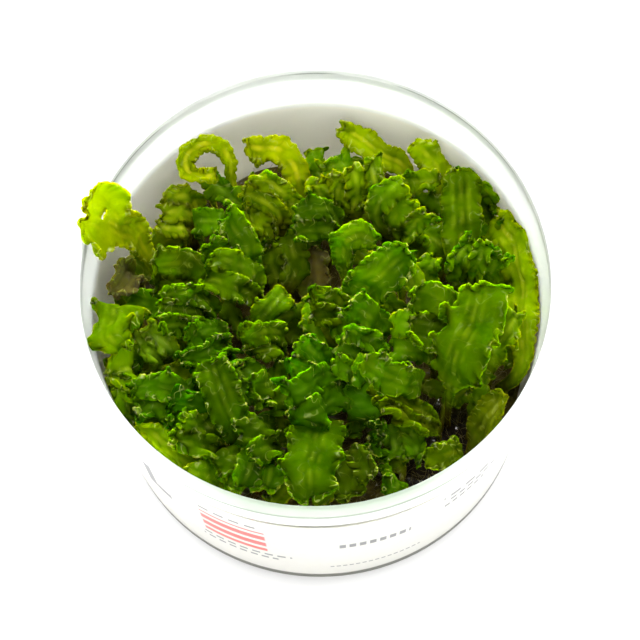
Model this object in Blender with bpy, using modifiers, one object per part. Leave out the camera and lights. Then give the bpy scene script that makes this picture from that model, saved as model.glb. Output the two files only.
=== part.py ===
"""Cup of Monosolenium tenerum, an aquarium liverwort grown in tissue culture.

A round milky plastic cup with a printed label band holds a disc of nutrient gel, a brown mat of old
thalli and rhizoids, and the green thalli that grow from the mat: broad ruffled ribbons that climb, lean
on each other and curl, one of them out over the rim.

The frame has its origin at the middle of the cup's base, with +Z up and -Y towards the viewer. Lengths
are worked out in millimetres and turned into metres when a mesh is made.
"""

import bmesh
import bpy
import math
import numpy as np
from collections import namedtuple
from mathutils.bvhtree import BVHTree

MM = 0.001

# Cup
RIM_RADIUS = 50.0
RIM_HEIGHT = 62.0
RIM_INNER_RADIUS = 47.4
SKIRT_DROP = 6.2
SKIRT_THICKNESS = 0.9
SHOULDER_HEIGHT = 53.2
WALL_THICKNESS = 1.0
WALL_TOP_RADIUS = 47.4
BASE_RADIUS = 42.6
BASE_THICKNESS = 1.2
BASE_CORNER = 1.8
FLOOR_CORNER = 1.4
RIM_THICKNESS = 1.2
RIM_EDGE = 0.5
SHOULDER_RISE = 3.0
ROUND_SEGMENTS = 36
SHARP_ANGLE = 35

# Label band, gel and mat
LABEL_BOTTOM = 2.6
LABEL_TOP = 47.6
LABEL_THICKNESS = 0.3
GAP = 0.3
GEL_TOP = 9.0
MAT_BOTTOM = GEL_TOP + GAP
MAT_LEVEL = 24.0
MAT_LUMP = 1.6
MAT_MOUND = 3.0
MAT_PIT = 2.0
MAT_RINGS = 7

# Thalli
THALLUS_THICKNESS = 0.9
FULLNESS = 1.5
RUFFLE_GAIN = 1.7
CELLS_ACROSS = 4
CELL_LENGTH = 5.0
LEAST_CELLS = 6
MOST_CELLS = 12
ROOT_CLEARANCE = 1.0
MAT_CLEARANCE = 1.5
SPACING = 2.7
WALL_CLEARANCE = 1.0
STALK_SHARE = 0.3
TIP_START = 0.78
RELAX_ROUNDS = 260
SIGHT_LEVEL = 50.0
SIGHT_SLOPE = 0.413

COLOURS = {
    "cup": (0.90, 0.91, 0.90),
    "label": (0.86, 0.86, 0.83),
    "gel": (0.45, 0.42, 0.28),
    "mat": (0.045, 0.035, 0.015),
    "bright": (0.40, 0.58, 0.01),
    "light": (0.20, 0.42, 0.02),
    "mid": (0.10, 0.28, 0.015),
    "dark": (0.04, 0.15, 0.01),
    "olive": (0.17, 0.19, 0.015),
    "brown": (0.12, 0.08, 0.02),
}

Thallus = namedtuple("Thallus", "name tone width root spine turn cup ruffle fork")


def thallus(name, tone, width, root, *spine, turn=0, cup=0.10, ruffle=0.9, fork=0.0):
    """One ribbon: its root on the mat, then the places its midrib passes.

    A place is x, y and height. Its y is read along the line of sight in the plane SIGHT_LEVEL up, as
    seen from above and in front, so that the ribbons can be set out by eye. Turn rolls the ribbon about
    its midrib in degrees, cup bends its two halves up, ruffle is the wave of its margins in mm, and
    fork is the depth of the notch at its tip as a share of its width.
    """
    return Thallus(name, tone, width, root, spine, turn, cup, ruffle, fork)


THALLI = [
    # Back left, from the lobe over the rim to the arch
    thallus("thallus_over_rim", "bright", 10.5, (-31, 12), (-36.5, 17, 50), (-39.5, 19, 58.5),
            (-43.5, 21.5, 65), (-48.5, 22.5, 66.5), ruffle=0.8, fork=0.2),
    thallus("thallus_back_curl", "bright", 3.6, (-17, 24), (-16.3, 27, 40), (-16.5, 34, 48), (-19, 37.5, 51),
            (-24, 36.5, 52), (-25.5, 32, 52), (-22, 30, 51), (-18.5, 31.5, 49), ruffle=0.5),
    thallus("thallus_back_arch", "bright", 5, (-2, 25), (-3, 24.5, 38), (-3.4, 30.5, 47), (-6, 34.5, 50),
            (-10.5, 35.7, 50), (-15, 36.8, 49), ruffle=0.6),
    thallus("thallus_left_dark", "dark", 7.5, (-25, 18), (-26, 21, 38), (-29, 22, 43), (-34, 22.5, 45)),
    thallus("thallus_left_serrate", "light", 8.5, (-15, 12), (-16, 10.5, 45), (-18, 16, 51),
            (-23, 20.5, 53), ruffle=1.0, fork=0.15),
    thallus("thallus_left_striped", "light", 6.5, (-11, 5), (-13.5, 5, 44), (-18.5, 8, 51), (-25, 11, 52)),
    thallus("thallus_left_ribbed", "mid", 7, (-23, 8), (-25.5, 6.5, 45), (-30, 8, 50), (-35, 7, 50)),
    thallus("thallus_left_old", "brown", 5, (-35, 12), (-37, 10, 42), (-38.7, 7, 46), (-41, 4.5, 47),
            ruffle=0.5),
    # Left wall
    thallus("thallus_left_frill", "bright", 6.5, (-38, 2), (-41, 1.5, 48), (-44, 0, 54), (-44.6, -4, 56),
            (-42.5, -8, 55)),
    thallus("thallus_left_patch", "bright", 6.5, (-36, -8), (-38, -12, 46), (-40.5, -12, 50),
            (-43, -13, 51), ruffle=0.5),
    thallus("thallus_left_slant", "olive", 5, (-30, -5), (-33, -8, 45), (-36, -4.5, 49), (-39.5, -1.5, 51),
            ruffle=0.6),
    # Between the middle and the left wall
    thallus("thallus_frizzed", "mid", 7, (-21, 1), (-23, -1, 46), (-28.5, 0.5, 52), (-34.5, 1.5, 53),
            ruffle=1.3),
    thallus("thallus_left_fan", "mid", 8, (-17, -7), (-20, -9, 44), (-25, -11.5, 50), (-31, -13, 52),
            ruffle=1.1, fork=0.2),
    thallus("thallus_broad_strip", "mid", 8, (-16, -23), (-18.5, -27.5, 43), (-20, -23, 50),
            (-22, -17, 52), (-23, -11, 50), cup=-0.1, ruffle=0.6),
    thallus("thallus_strip_branch", "olive", 6, (-9, -15), (-11.5, -18, 43), (-15, -15.5, 48),
            (-19, -11.5, 50), ruffle=0.5),
    # Lower left
    thallus("thallus_lower_crest", "light", 6.5, (-23, -15), (-26, -21, 44), (-32, -19, 49),
            (-40, -18.5, 50), ruffle=1.2),
    thallus("thallus_lower_fold", "mid", 6, (-22, -20), (-21.5, -26, 44), (-26, -23.5, 49),
            (-32.5, -22.5, 50), ruffle=1.1),
    thallus("thallus_lower_frizz", "mid", 6.5, (-19, -26), (-21.5, -29, 45), (-26, -27.5, 50),
            (-31.5, -26.5, 51), ruffle=1.2),
    thallus("thallus_tongue", "bright", 7, (-25, -27), (-27, -32, 40), (-31, -29.5, 44), (-36, -26, 47),
            (-39.5, -23, 48), cup=0.18, ruffle=0.3),
    thallus("thallus_tongue_foot", "bright", 5, (-20, -33), (-23, -36.5, 42), (-26.5, -35.5, 47),
            (-30, -33.5, 49), ruffle=0.4),
    # Front
    thallus("thallus_front_left", "mid", 7, (-8, -26), (-11.5, -29.5, 42), (-15, -29.5, 49), (-19, -32.5, 50),
            ruffle=1.1),
    thallus("thallus_front_corner", "mid", 6, (-14, -31), (-17.5, -34, 41), (-20.5, -35.5, 46),
            (-23, -36.5, 47), ruffle=0.8),
    thallus("thallus_front_streaked", "light", 6, (-10, -30), (-12.5, -33, 44), (-14, -38, 47),
            (-14.5, -41.5, 45), ruffle=0.7),
    thallus("thallus_front_big", "light", 9, (3, -19), (0, -24, 45), (-2, -29, 53), (-3.3, -35, 55.5),
            (-3.3, -41, 53), ruffle=1.0),
    thallus("thallus_front_right", "olive", 6.5, (5, -27), (4.5, -33, 42), (6.5, -37, 47), (9, -41.5, 48),
            ruffle=0.8),
    thallus("thallus_pit_frizz", "dark", 6, (9, -24), (10, -31, 40), (10, -31, 45), (7, -30.5, 47),
            ruffle=1.1),
    thallus("thallus_pit_leaf", "dark", 6.5, (15, -22), (15.5, -27.5, 35), (16.5, -32, 39), (17, -35.5, 41),
            ruffle=1.0),
    thallus("thallus_front_pale", "light", 5, (12, -32), (13, -37.5, 40), (14, -39.5, 45), (11, -41, 47),
            ruffle=0.9),
    thallus("thallus_front_bright", "bright", 5, (28, -28), (28, -34.5, 41), (25, -35, 47),
            (20, -36, 48.5), ruffle=0.5),
    thallus("thallus_front_tongue", "light", 7.5, (8, -13), (4, -17, 46), (0, -19, 51), (-4, -21, 54),
            (-8.5, -22, 54), ruffle=1.1),
    thallus("thallus_front_curl", "mid", 7, (-5, -15), (-8.5, -18, 44), (-12, -19.5, 50), (-15, -23, 51),
            ruffle=1.2),
    # Middle
    thallus("thallus_middle_arch", "mid", 5.5, (-6, -6), (-8.5, -9, 44), (-12.5, -9.3, 50), (-17, -11, 51),
            ruffle=1.0),
    thallus("thallus_middle_hook", "light", 6, (3, -10), (0.5, -15.5, 45), (-3, -12, 51), (-5.5, -8, 53),
            ruffle=1.0),
    thallus("thallus_middle_spray", "mid", 8, (12, -11), (10, -14.5, 44), (6, -11.5, 51), (1, -9, 53),
            ruffle=1.1, fork=0.2),
    thallus("thallus_middle_shade", "dark", 9, (15, -16), (13, -19, 42), (8, -19, 46), (3, -20, 48),
            ruffle=0.6),
    thallus("thallus_middle_lobe", "light", 7, (13, -6), (11.5, -8, 46), (8, -4.5, 52), (3.5, -1, 53),
            ruffle=0.8),
    thallus("thallus_middle_frill", "mid", 5, (6, 2), (4.5, -1.5, 46), (1, 0, 50), (-4.5, 0.3, 51),
            ruffle=1.2),
    # Right
    thallus("thallus_forked_upper", "bright", 6.5, (19, -12.5), (20, -19, 44), (17, -18.3, 50),
            (12.5, -16, 54.5), (8, -12.5, 56), ruffle=0.8),
    thallus("thallus_forked_lower", "bright", 6, (23.5, -25), (22, -29, 36), (16.5, -26.5, 41.5),
            (11, -23, 45.5), (5.5, -24, 47), ruffle=1.0, fork=0.2),
    thallus("thallus_right_ribbed", "mid", 9, (26, -2), (26, -7, 45), (21.5, -4, 51), (14, -2.5, 53),
            ruffle=0.8),
    thallus("thallus_right_smooth", "light", 7.5, (24, -8), (23.5, -11, 44), (18.5, -10, 49),
            (11.5, -9.5, 50), ruffle=0.4),
    thallus("thallus_right_big", "light", 9.5, (26, -18.5), (25.5, -19.5, 45), (26, -14, 53),
            (29, -7, 57), (31.5, -1, 57.5), (31, 3.5, 55.5), ruffle=1.0, fork=0.15),
    thallus("thallus_midrib_leaf", "light", 8.5, (8, 5), (9, 1.5, 46), (14, 6, 53), (19.5, 11, 54.5),
            ruffle=0.9),
    thallus("thallus_hooked", "light", 6, (6, 10), (6, 9, 43), (5.5, 13, 49), (8.5, 15.3, 51.5),
            (13, 13, 51), ruffle=0.5),
    thallus("thallus_right_band", "bright", 6, (37, -12), (41.5, -17, 42), (42.7, -9, 45), (43, 0, 46.5),
            (42.7, 10, 47), (40, 19, 46), turn=-35, cup=0.2, ruffle=0.6),
    thallus("thallus_right_foot", "olive", 5, (30, -26), (32, -31, 35), (35.3, -27, 43),
            (38.5, -22, 47), turn=-25, ruffle=0.4),
    thallus("thallus_right_frizz", "light", 8, (32, 6), (33, 5, 44), (35, 9, 50), (36, 14, 52),
            ruffle=1.2),
    # Back
    thallus("thallus_right_strip", "light", 5, (30, 9), (30.5, 6, 40), (31, 15, 46), (31.5, 23, 47),
            (31, 29, 46), ruffle=0.4),
    thallus("thallus_back_tip", "bright", 4.5, (27, 24), (27.5, 30, 43), (25, 33.5, 47), (22.3, 36.5, 48),
            ruffle=0.5),
    thallus("thallus_lobed", "light", 9, (16, 18), (17, 18, 44), (20.5, 22, 50), (24, 26, 50),
            ruffle=1.0, fork=0.25),
    thallus("thallus_back_band", "bright", 5.5, (21, 28), (20.5, 29.5, 38), (15, 33.5, 43.5),
            (10, 38, 46), (6.5, 40.3, 46), turn=25, ruffle=0.4),
    thallus("thallus_crown", "mid", 11, (6, 21), (7, 21, 42), (7, 27, 49), (5.5, 33, 49),
            ruffle=1.2, fork=0.3),
    thallus("thallus_lying", "mid", 6, (3, 17), (4, 17.5, 44), (-1, 18.3, 49), (-7.5, 17.5, 50),
            ruffle=0.8),
    thallus("thallus_middle_old", "brown", 8, (-1, 5), (-1, 2, 32), (0, 8, 37), (0, 13, 39),
            ruffle=0.6),
    thallus("thallus_back_slant", "mid", 8.5, (-7, 18), (-6.5, 20.5, 43), (-10, 24.5, 49),
            (-15.5, 27.5, 50), ruffle=1.0),
    thallus("thallus_upright_dark", "dark", 7, (-7, 8), (-7, 6, 37), (-7.5, 12, 41), (-9.5, 16, 43),
            ruffle=0.8),
]


def clear_scene():
    """Removes what the start-up file holds."""
    for obj in list(bpy.data.objects):
        bpy.data.objects.remove(obj)


def material(name, colour, roughness):
    """A plain Principled material for one sub-part."""
    made = bpy.data.materials.new(name)
    made.use_nodes = True
    shader = made.node_tree.nodes["Principled BSDF"]
    shader.inputs["Base Color"].default_value = (*colour, 1.0)
    shader.inputs["Roughness"].default_value = roughness
    shader.inputs["Metallic"].default_value = 0.0
    made.diffuse_color = (*colour, 1.0)
    return made


def place(mesh, name, collection, colour, roughness=0.4):
    """Links a mesh as a named object with its own material, shaded smooth but for its sharp edges."""
    obj = bpy.data.objects.new(name, mesh)
    collection.objects.link(obj)
    mesh.materials.append(material(name, colour, roughness))
    mesh.shade_smooth()
    mesh.set_sharp_from_angle(angle=math.radians(SHARP_ANGLE))
    return obj


def turned(name, profile, collection, colour, roughness=0.4):
    """A shape turned about Z from a profile of (radius, height) in mm that runs down its outer side."""
    bm = bmesh.new()
    verts = [bm.verts.new((r * MM, 0, z * MM)) for r, z in profile]
    for a, b in zip(verts, verts[1:]):
        bm.edges.new((a, b))
    mesh = bpy.data.meshes.new(name)
    bm.to_mesh(mesh)
    bm.free()
    obj = place(mesh, name, collection, colour, roughness)
    screw = obj.modifiers.new("Turn", "SCREW")
    screw.axis = "Z"
    screw.steps = ROUND_SEGMENTS
    screw.render_steps = ROUND_SEGMENTS
    screw.use_merge_vertices = True
    screw.merge_threshold = 0.00001
    screw.use_smooth_shade = True
    return obj


def wall_radius(z):
    """Outer radius of the tapering wall at a height, up to the shoulder."""
    share = (z - BASE_CORNER) / (SHOULDER_HEIGHT - BASE_CORNER)
    return BASE_RADIUS + (WALL_TOP_RADIUS - BASE_RADIUS) * share


def inner_radius(z):
    """Inner radius of the cup at a height, as a number or an array."""
    wall = wall_radius(np.minimum(z, SHOULDER_HEIGHT)) - WALL_THICKNESS
    lip = (z - SHOULDER_HEIGHT) / (RIM_HEIGHT - SHOULDER_HEIGHT)
    top = wall_radius(SHOULDER_HEIGHT) - WALL_THICKNESS
    upper = top + (RIM_INNER_RADIUS - top) * np.clip(lip * 3.0, 0.0, 1.0)
    return np.where(z < SHOULDER_HEIGHT, wall, upper)


def make_cup(collection):
    """The tapering cup: flat base, wall, shoulder, and a rim turned over into a short hanging skirt."""
    skirt_inner = RIM_RADIUS - SKIRT_THICKNESS
    skirt_bottom = RIM_HEIGHT - SKIRT_DROP
    under_rim = RIM_HEIGHT - RIM_THICKNESS
    upper_wall = RIM_INNER_RADIUS + 0.8 * WALL_THICKNESS
    inner_base = float(inner_radius(BASE_THICKNESS + FLOOR_CORNER))
    inside = [
        (0, BASE_THICKNESS),
        (inner_base - FLOOR_CORNER, BASE_THICKNESS),
        (inner_base, BASE_THICKNESS + FLOOR_CORNER),
        (float(inner_radius(SHOULDER_HEIGHT)), SHOULDER_HEIGHT),
        (RIM_INNER_RADIUS, SHOULDER_HEIGHT + SHOULDER_RISE),
        (RIM_INNER_RADIUS, RIM_HEIGHT - RIM_EDGE),
        (RIM_INNER_RADIUS + RIM_EDGE, RIM_HEIGHT),
    ]
    rim = [
        (RIM_RADIUS - RIM_EDGE, RIM_HEIGHT),
        (RIM_RADIUS, RIM_HEIGHT - RIM_EDGE),
        (RIM_RADIUS - 0.3, skirt_bottom),
        (skirt_inner - 0.3, skirt_bottom),
        (skirt_inner - 0.1, under_rim),
        (upper_wall, under_rim),
        (upper_wall, SHOULDER_HEIGHT + SHOULDER_RISE - 0.8),
    ]
    outside = [
        (wall_radius(SHOULDER_HEIGHT), SHOULDER_HEIGHT),
        (BASE_RADIUS, BASE_CORNER),
        (BASE_RADIUS - 0.3 * BASE_CORNER, 0.3 * BASE_CORNER),
        (BASE_RADIUS - BASE_CORNER, 0),
        (0, 0),
    ]
    profile = inside + rim + outside
    return turned("cup", profile, collection, COLOURS["cup"], 0.2)


def make_label(collection):
    """The printed band wrapped round the wall, a skin just off it."""
    inside = [(wall_radius(z) + GAP, z) for z in (LABEL_TOP, LABEL_BOTTOM)]
    outside = [(r + LABEL_THICKNESS, z) for r, z in inside]
    profile = [inside[1], inside[0], outside[0], outside[1], inside[1]]
    return turned("label", profile, collection, COLOURS["label"], 0.5)


def make_gel(collection):
    """The disc of nutrient gel set on the cup's floor."""
    floor = BASE_THICKNESS + GAP
    low = float(inner_radius(BASE_THICKNESS + FLOOR_CORNER)) - FLOOR_CORNER - GAP
    profile = [
        (0, GEL_TOP),
        (float(inner_radius(GEL_TOP)) - GAP, GEL_TOP),
        (low + FLOOR_CORNER, floor + FLOOR_CORNER),
        (low, floor),
        (0, floor),
    ]
    return turned("nutrient_gel", profile, collection, COLOURS["gel"], 0.2)


def mat_surface(x, y):
    """Height of the lumpy top of the mat, in mm: a low mound, sunk at the pit in front on the right."""
    lumps = MAT_LUMP * np.sin(0.27 * x + 0.9) * np.cos(0.24 * y - 0.4)
    mound = MAT_MOUND * np.exp(-((x + 4) ** 2 + (y - 6) ** 2) / 500.0)
    pit = MAT_PIT * np.exp(-((x - 26) ** 2 + (y + 22) ** 2) / 90.0)
    return MAT_LEVEL + lumps + mound - pit


def make_mat(collection):
    """The brown mat of old thalli and rhizoids that the green ones grow from."""
    low = float(inner_radius(MAT_BOTTOM)) - 2 * GAP
    high = float(inner_radius(MAT_LEVEL)) - 2 * GAP
    rings = [(high * k / MAT_RINGS, MAT_LEVEL) for k in range(MAT_RINGS + 1)]
    shell = turned("mat_blank", [*rings, (low, MAT_BOTTOM), (0, MAT_BOTTOM)], collection, COLOURS["mat"])
    bpy.context.view_layer.update()
    graph = bpy.context.evaluated_depsgraph_get()
    mesh = bpy.data.meshes.new_from_object(shell.evaluated_get(graph))
    bpy.data.objects.remove(shell)
    mesh.materials.clear()
    for vert in mesh.vertices:
        if vert.co.z > (MAT_LEVEL - 1.0) * MM:
            vert.co.z = mat_surface(vert.co.x / MM, vert.co.y / MM) * MM
    mesh.name = "rhizoid_mat"
    return place(mesh, "rhizoid_mat", collection, COLOURS["mat"], 0.8)


def unit(vectors):
    """Vectors scaled to length one, along the last axis."""
    return vectors / np.maximum(np.linalg.norm(vectors, axis=-1, keepdims=True), 1e-9)


def eased(x):
    """A smooth step from 0 to 1."""
    x = np.clip(x, 0.0, 1.0)
    return x * x * (3 - 2 * x)


def spine_curve(points, samples=240):
    """A smooth curve through the points, read at even steps of its own parameter."""
    points = np.array(points, float)
    ends = np.vstack([2 * points[0] - points[1], points, 2 * points[-1] - points[-2]])
    t = np.linspace(0, len(points) - 1, samples)
    k = np.minimum(t.astype(int), len(points) - 2)
    f = (t - k)[:, None]
    a, b, c, d = ends[k], ends[k + 1], ends[k + 2], ends[k + 3]
    return 0.5 * (2 * b + (c - a) * f + (2 * a - 5 * b + 4 * c - d) * f**2 + (3 * b - a - 3 * c + d) * f**3)


def ribbon_grid(one, ground):
    """The ribbon's surface as rows of points from root to tip, before it makes room for the others."""
    x, y = one.root
    places = [(x, y, ground(x, y) + ROOT_CLEARANCE)]
    places += [(px, py + (SIGHT_LEVEL - pz) * SIGHT_SLOPE, pz) for px, py, pz in one.spine]
    curve = spine_curve(places)
    steps = np.concatenate([[0], np.cumsum(np.linalg.norm(np.diff(curve, axis=0), axis=1))])
    rows = cells_along(steps[-1]) + 1
    share = np.linspace(0, 1, rows)
    at = steps[-1] * share**0.8
    middle = np.stack([np.interp(at, steps, curve[:, k]) for k in range(3)], 1)
    along = unit(np.gradient(middle, axis=0))
    facing = np.zeros_like(along)
    towards = np.array([0.0, -0.38, 0.92])
    for k in reversed(range(rows)):
        flat = towards - along[k] * (towards @ along[k])
        if np.linalg.norm(flat) < 0.2:
            flat = np.array([0.0, -1.0, 0.0]) - along[k] * (-along[k][1])
        facing[k] = flat / np.linalg.norm(flat)
        towards = facing[k]
    across = np.cross(along, facing)
    roll = math.radians(one.turn)
    facing, across = (
        facing * math.cos(roll) + across * math.sin(roll),
        across * math.cos(roll) - facing * math.sin(roll),
    )
    blade = eased((share - 0.08) / 0.5)
    tip = np.sqrt(1 - np.clip((share - TIP_START) / (1.025 - TIP_START), 0, 1) ** 2)
    half = 0.5 * FULLNESS * one.width * (STALK_SHARE + (1 - STALK_SHARE) * blade) * tip
    grid = np.zeros((rows, CELLS_ACROSS + 1, 3))
    wave = RUFFLE_GAIN * one.ruffle * eased((share - 0.25) / 0.35) * np.where(np.arange(rows) % 2, 1.0, -1.0)
    wave[-1] *= 0.4
    notch = one.fork * one.width * eased((share - 0.6) / 0.4)
    for j, u in enumerate(np.linspace(-1, 1, CELLS_ACROSS + 1)):
        side = 1.0 if u > 0 else -0.8
        lift = one.cup * one.width * u * u * blade + side * wave * abs(u) ** 3
        back = notch * (1 - abs(u))
        grid[:, j] = middle + across * (half * u)[:, None] + facing * lift[:, None] - along * back[:, None]
    return grid


def cells_along(length):
    """How many cells a ribbon takes along its length in mm."""
    return int(np.clip(round(length / CELL_LENGTH), LEAST_CELLS, MOST_CELLS))


def halved(count):
    """Matrix that reads a line of points at every half step."""
    matrix = np.zeros((2 * count - 1, count))
    for k in range(2 * count - 1):
        matrix[k, k // 2] += 0.5
        matrix[k, (k + 1) // 2] += 0.5
    return matrix


def close_pairs(samples, owner, reach):
    """Indices of samples on unlike ribbons that lie within reach of each other."""
    found_a, found_b = [], []
    squares = (samples**2).sum(-1)
    for start in range(0, len(samples), 500):
        block = samples[start : start + 500]
        apart = squares[start : start + 500, None] + squares[None] - 2.0 * block @ samples.T
        a, b = np.nonzero(apart < reach * reach)
        a += start
        keep = (b > a) & (owner[a] != owner[b])
        found_a.append(a[keep])
        found_b.append(b[keep])
    return np.concatenate(found_a), np.concatenate(found_b)


def make_room(grids):
    """Moves the ribbons apart until none passes through another, and keeps each one's own ruffles.

    Samples closer than SPACING push each other away. Each ribbon then smooths how far its points have
    moved, so that it bends as a whole, with its root held. The wall and the mat hold them in.
    """
    readers = [halved(len(grid)) for grid in grids]
    across = halved(CELLS_ACROSS + 1)
    columns = len(across)
    moved = [np.zeros_like(grid) for grid in grids]
    weights = [np.outer(reader.sum(0), across.sum(0))[..., None] for reader in readers]
    owner = np.concatenate([np.full(len(r) * columns, k) for k, r in enumerate(readers)])
    row_of = np.concatenate([np.repeat(np.arange(len(r)), columns) for r in readers])
    first = second = None
    for turn in range(RELAX_ROUNDS):
        samples = np.concatenate(
            [np.einsum("ab,bcd,ec->aed", r, g + m, across, optimize=True).reshape(-1, 3)
             for r, g, m in zip(readers, grids, moved)]
        )
        if turn % 20 == 0:
            first, second = close_pairs(samples, owner, SPACING + 2.5)
            rooted = (row_of[first] == 0) & (row_of[second] == 0)
            first, second = first[~rooted], second[~rooted]
        gap = samples[first] - samples[second]
        apart = np.linalg.norm(gap, axis=1)
        push = np.clip(SPACING - apart, 0, None)
        step = gap * (0.5 * push / np.maximum(apart, 1e-6))[:, None]
        force = np.zeros_like(samples)
        count = np.zeros(len(samples))
        for index, sign in ((first, 1.0), (second, -1.0)):
            for axis in range(3):
                force[:, axis] += sign * np.bincount(index, step[:, axis], len(samples))
            count += np.bincount(index, push > 0, len(samples))
        force /= np.maximum(1.0, 0.5 * count)[:, None]
        start = 0
        for k, reader in enumerate(readers):
            size = len(reader) * columns
            part = force[start : start + size].reshape(len(reader), columns, 3)
            start += size
            moved[k] += 1.4 * np.einsum("ab,aed,ec->bcd", reader, part, across, optimize=True) / weights[k]
            for _ in range(2):
                moved[k] = smoothed(moved[k])
            moved[k] *= 0.997
            moved[k][0] = 0
            moved[k] = held_in(grids[k] + moved[k]) - grids[k]
    return [grid + move for grid, move in zip(grids, moved)]


def smoothed(field):
    """A ribbon's movement, each point drawn halfway to the mean of its neighbours."""
    wide = np.pad(field, ((1, 1), (1, 1), (0, 0)), mode="edge")
    mean = (wide[:-2, 1:-1] + wide[2:, 1:-1] + wide[1:-1, :-2] + wide[1:-1, 2:]) / 4
    return 0.5 * field + 0.5 * mean


def held_in(points):
    """Points kept inside the wall and above the mat, except those that have passed over the rim."""
    x, y, z = points[..., 0], points[..., 1], points[..., 2]
    reach = np.hypot(x, y)
    limit = inner_radius(z) - WALL_CLEARANCE
    inside = np.where((reach > limit) & (z < RIM_HEIGHT + 0.5), limit / np.maximum(reach, 1e-6), 1.0)
    low = np.maximum(z, mat_surface(x, y) + MAT_CLEARANCE)
    low[0] = z[0]
    return np.stack([x * inside, y * inside, low], -1)


def make_thallus(one, grid, collection):
    """One ribbon as a grid with its points moved into place, given its thickness by Solidify."""
    rows, columns = grid.shape[:2]
    bm = bmesh.new()
    bmesh.ops.create_grid(bm, x_segments=columns - 1, y_segments=rows - 1, size=0.5)
    for vert in bm.verts:
        column = round((vert.co.x + 0.5) * (columns - 1))
        row = round((vert.co.y + 0.5) * (rows - 1))
        vert.co = grid[row, column] * MM
    mesh = bpy.data.meshes.new(one.name)
    bm.to_mesh(mesh)
    bm.free()
    obj = place(mesh, one.name, collection, COLOURS[one.tone], 0.35)
    solid = obj.modifiers.new("Thickness", "SOLIDIFY")
    solid.thickness = THALLUS_THICKNESS * MM
    solid.offset = 0.0
    return obj


def ground_under(mat):
    """A function that reads the height in mm of the mat's facets under a place."""
    bm = bmesh.new()
    bm.from_mesh(mat.data)
    tree = BVHTree.FromBMesh(bm)
    bm.free()

    def ground(x, y):
        hit = tree.ray_cast((x * MM, y * MM, RIM_HEIGHT * MM), (0, 0, -1))
        return hit[0].z / MM

    return ground


def main():
    """Builds the cup and all that grows in it."""
    clear_scene()
    collection = bpy.data.collections.new("monosolenium_cup")
    bpy.context.scene.collection.children.link(collection)
    make_cup(collection)
    make_label(collection)
    make_gel(collection)
    mat = make_mat(collection)
    ground = ground_under(mat)
    grids = make_room([ribbon_grid(one, ground) for one in THALLI])
    for one, grid in zip(THALLI, grids):
        make_thallus(one, grid, collection)


main()
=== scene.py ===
"""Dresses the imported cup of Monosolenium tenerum, a liverwort grown in tissue culture.

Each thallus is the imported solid's own ribbon at a finer grain: the same table of ribbons and the same
making of room, then frills, toothed margins, a midrib and a wet, crinkled skin. Small young thalli fill
the gaps. The mat gets its felt and its rhizoids, and the cup, its label and the gel get their finishes.
"""

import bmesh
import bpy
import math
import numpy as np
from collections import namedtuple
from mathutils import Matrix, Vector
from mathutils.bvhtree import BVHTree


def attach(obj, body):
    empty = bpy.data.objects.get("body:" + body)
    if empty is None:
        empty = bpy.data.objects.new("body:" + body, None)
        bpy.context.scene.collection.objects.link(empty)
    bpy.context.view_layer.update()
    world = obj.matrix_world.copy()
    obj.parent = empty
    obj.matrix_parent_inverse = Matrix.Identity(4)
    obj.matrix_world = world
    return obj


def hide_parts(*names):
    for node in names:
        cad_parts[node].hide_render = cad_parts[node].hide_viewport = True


bl_info = {
    "name": "Tissue culture cup of Monosolenium",
    "version": (1, 0, 0),
    "blender": (4, 5, 0),
    "location": "View3D > Sidebar > Liverwort",
    "description": "Builds a cup of ruffled liverwort thalli round its packed solids",
    "category": "Object",
}

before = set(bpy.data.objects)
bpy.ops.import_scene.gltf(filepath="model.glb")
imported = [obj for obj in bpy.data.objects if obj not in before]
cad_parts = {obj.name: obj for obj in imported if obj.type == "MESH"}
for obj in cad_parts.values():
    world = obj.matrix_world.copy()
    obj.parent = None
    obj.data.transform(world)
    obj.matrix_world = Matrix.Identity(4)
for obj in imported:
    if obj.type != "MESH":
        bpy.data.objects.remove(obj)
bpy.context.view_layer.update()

MM = 0.001

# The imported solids' own sizes, in mm
RIM_RADIUS = 50.0
RIM_HEIGHT = 62.0
RIM_INNER_RADIUS = 47.4
SKIRT_DROP = 6.2
SKIRT_THICKNESS = 0.9
SHOULDER_HEIGHT = 53.2
WALL_THICKNESS = 1.0
WALL_TOP_RADIUS = 47.4
BASE_RADIUS = 42.6
BASE_THICKNESS = 1.2
BASE_CORNER = 1.8
FLOOR_CORNER = 1.4
RIM_THICKNESS = 1.2
RIM_EDGE = 0.5
SHOULDER_RISE = 3.0
STACKING_LINE = 60.6
LINE_WIDTH = 1.0
LABEL_BOTTOM = 2.6
LABEL_TOP = 47.6
LABEL_THICKNESS = 0.3
GAP = 0.3
GEL_TOP = 9.0
MAT_BOTTOM = GEL_TOP + GAP
MAT_LEVEL = 24.0
MAT_LUMP = 1.6
MAT_MOUND = 3.0
MAT_PIT = 2.0

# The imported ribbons' own rules: their fullness, how high their ruffles stand, and their cells
FULLNESS = 1.5
RUFFLE_GAIN = 1.7
CELLS_ACROSS = 4
CELL_LENGTH = 5.0
LEAST_CELLS = 6
MOST_CELLS = 12
# How narrow the stalk is, and the share of the length from which the tip rounds off
STALK_SHARE = 0.3
TIP_START = 0.78
# Distances kept in mm: of the root and the blade over the mat, from the wall and between two ribbons
ROOT_CLEARANCE = 1.0
MAT_CLEARANCE = 1.5
WALL_CLEARANCE = 1.0
SPACING = 2.7
# The making of room: its rounds, how hard ribbons push apart, and the share of its movement each keeps
RELAX_ROUNDS = 260
PUSH = 1.4
KEPT = 0.997
# Depth below the rim above which the fine tissue may lean out over the lip
OPEN_LIP = 3.0
# A place's second number is where it shows at the sight level, by the slope of the camera's sight
SIGHT_LEVEL = 50.0
SIGHT_SLOPE = 0.413

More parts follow.
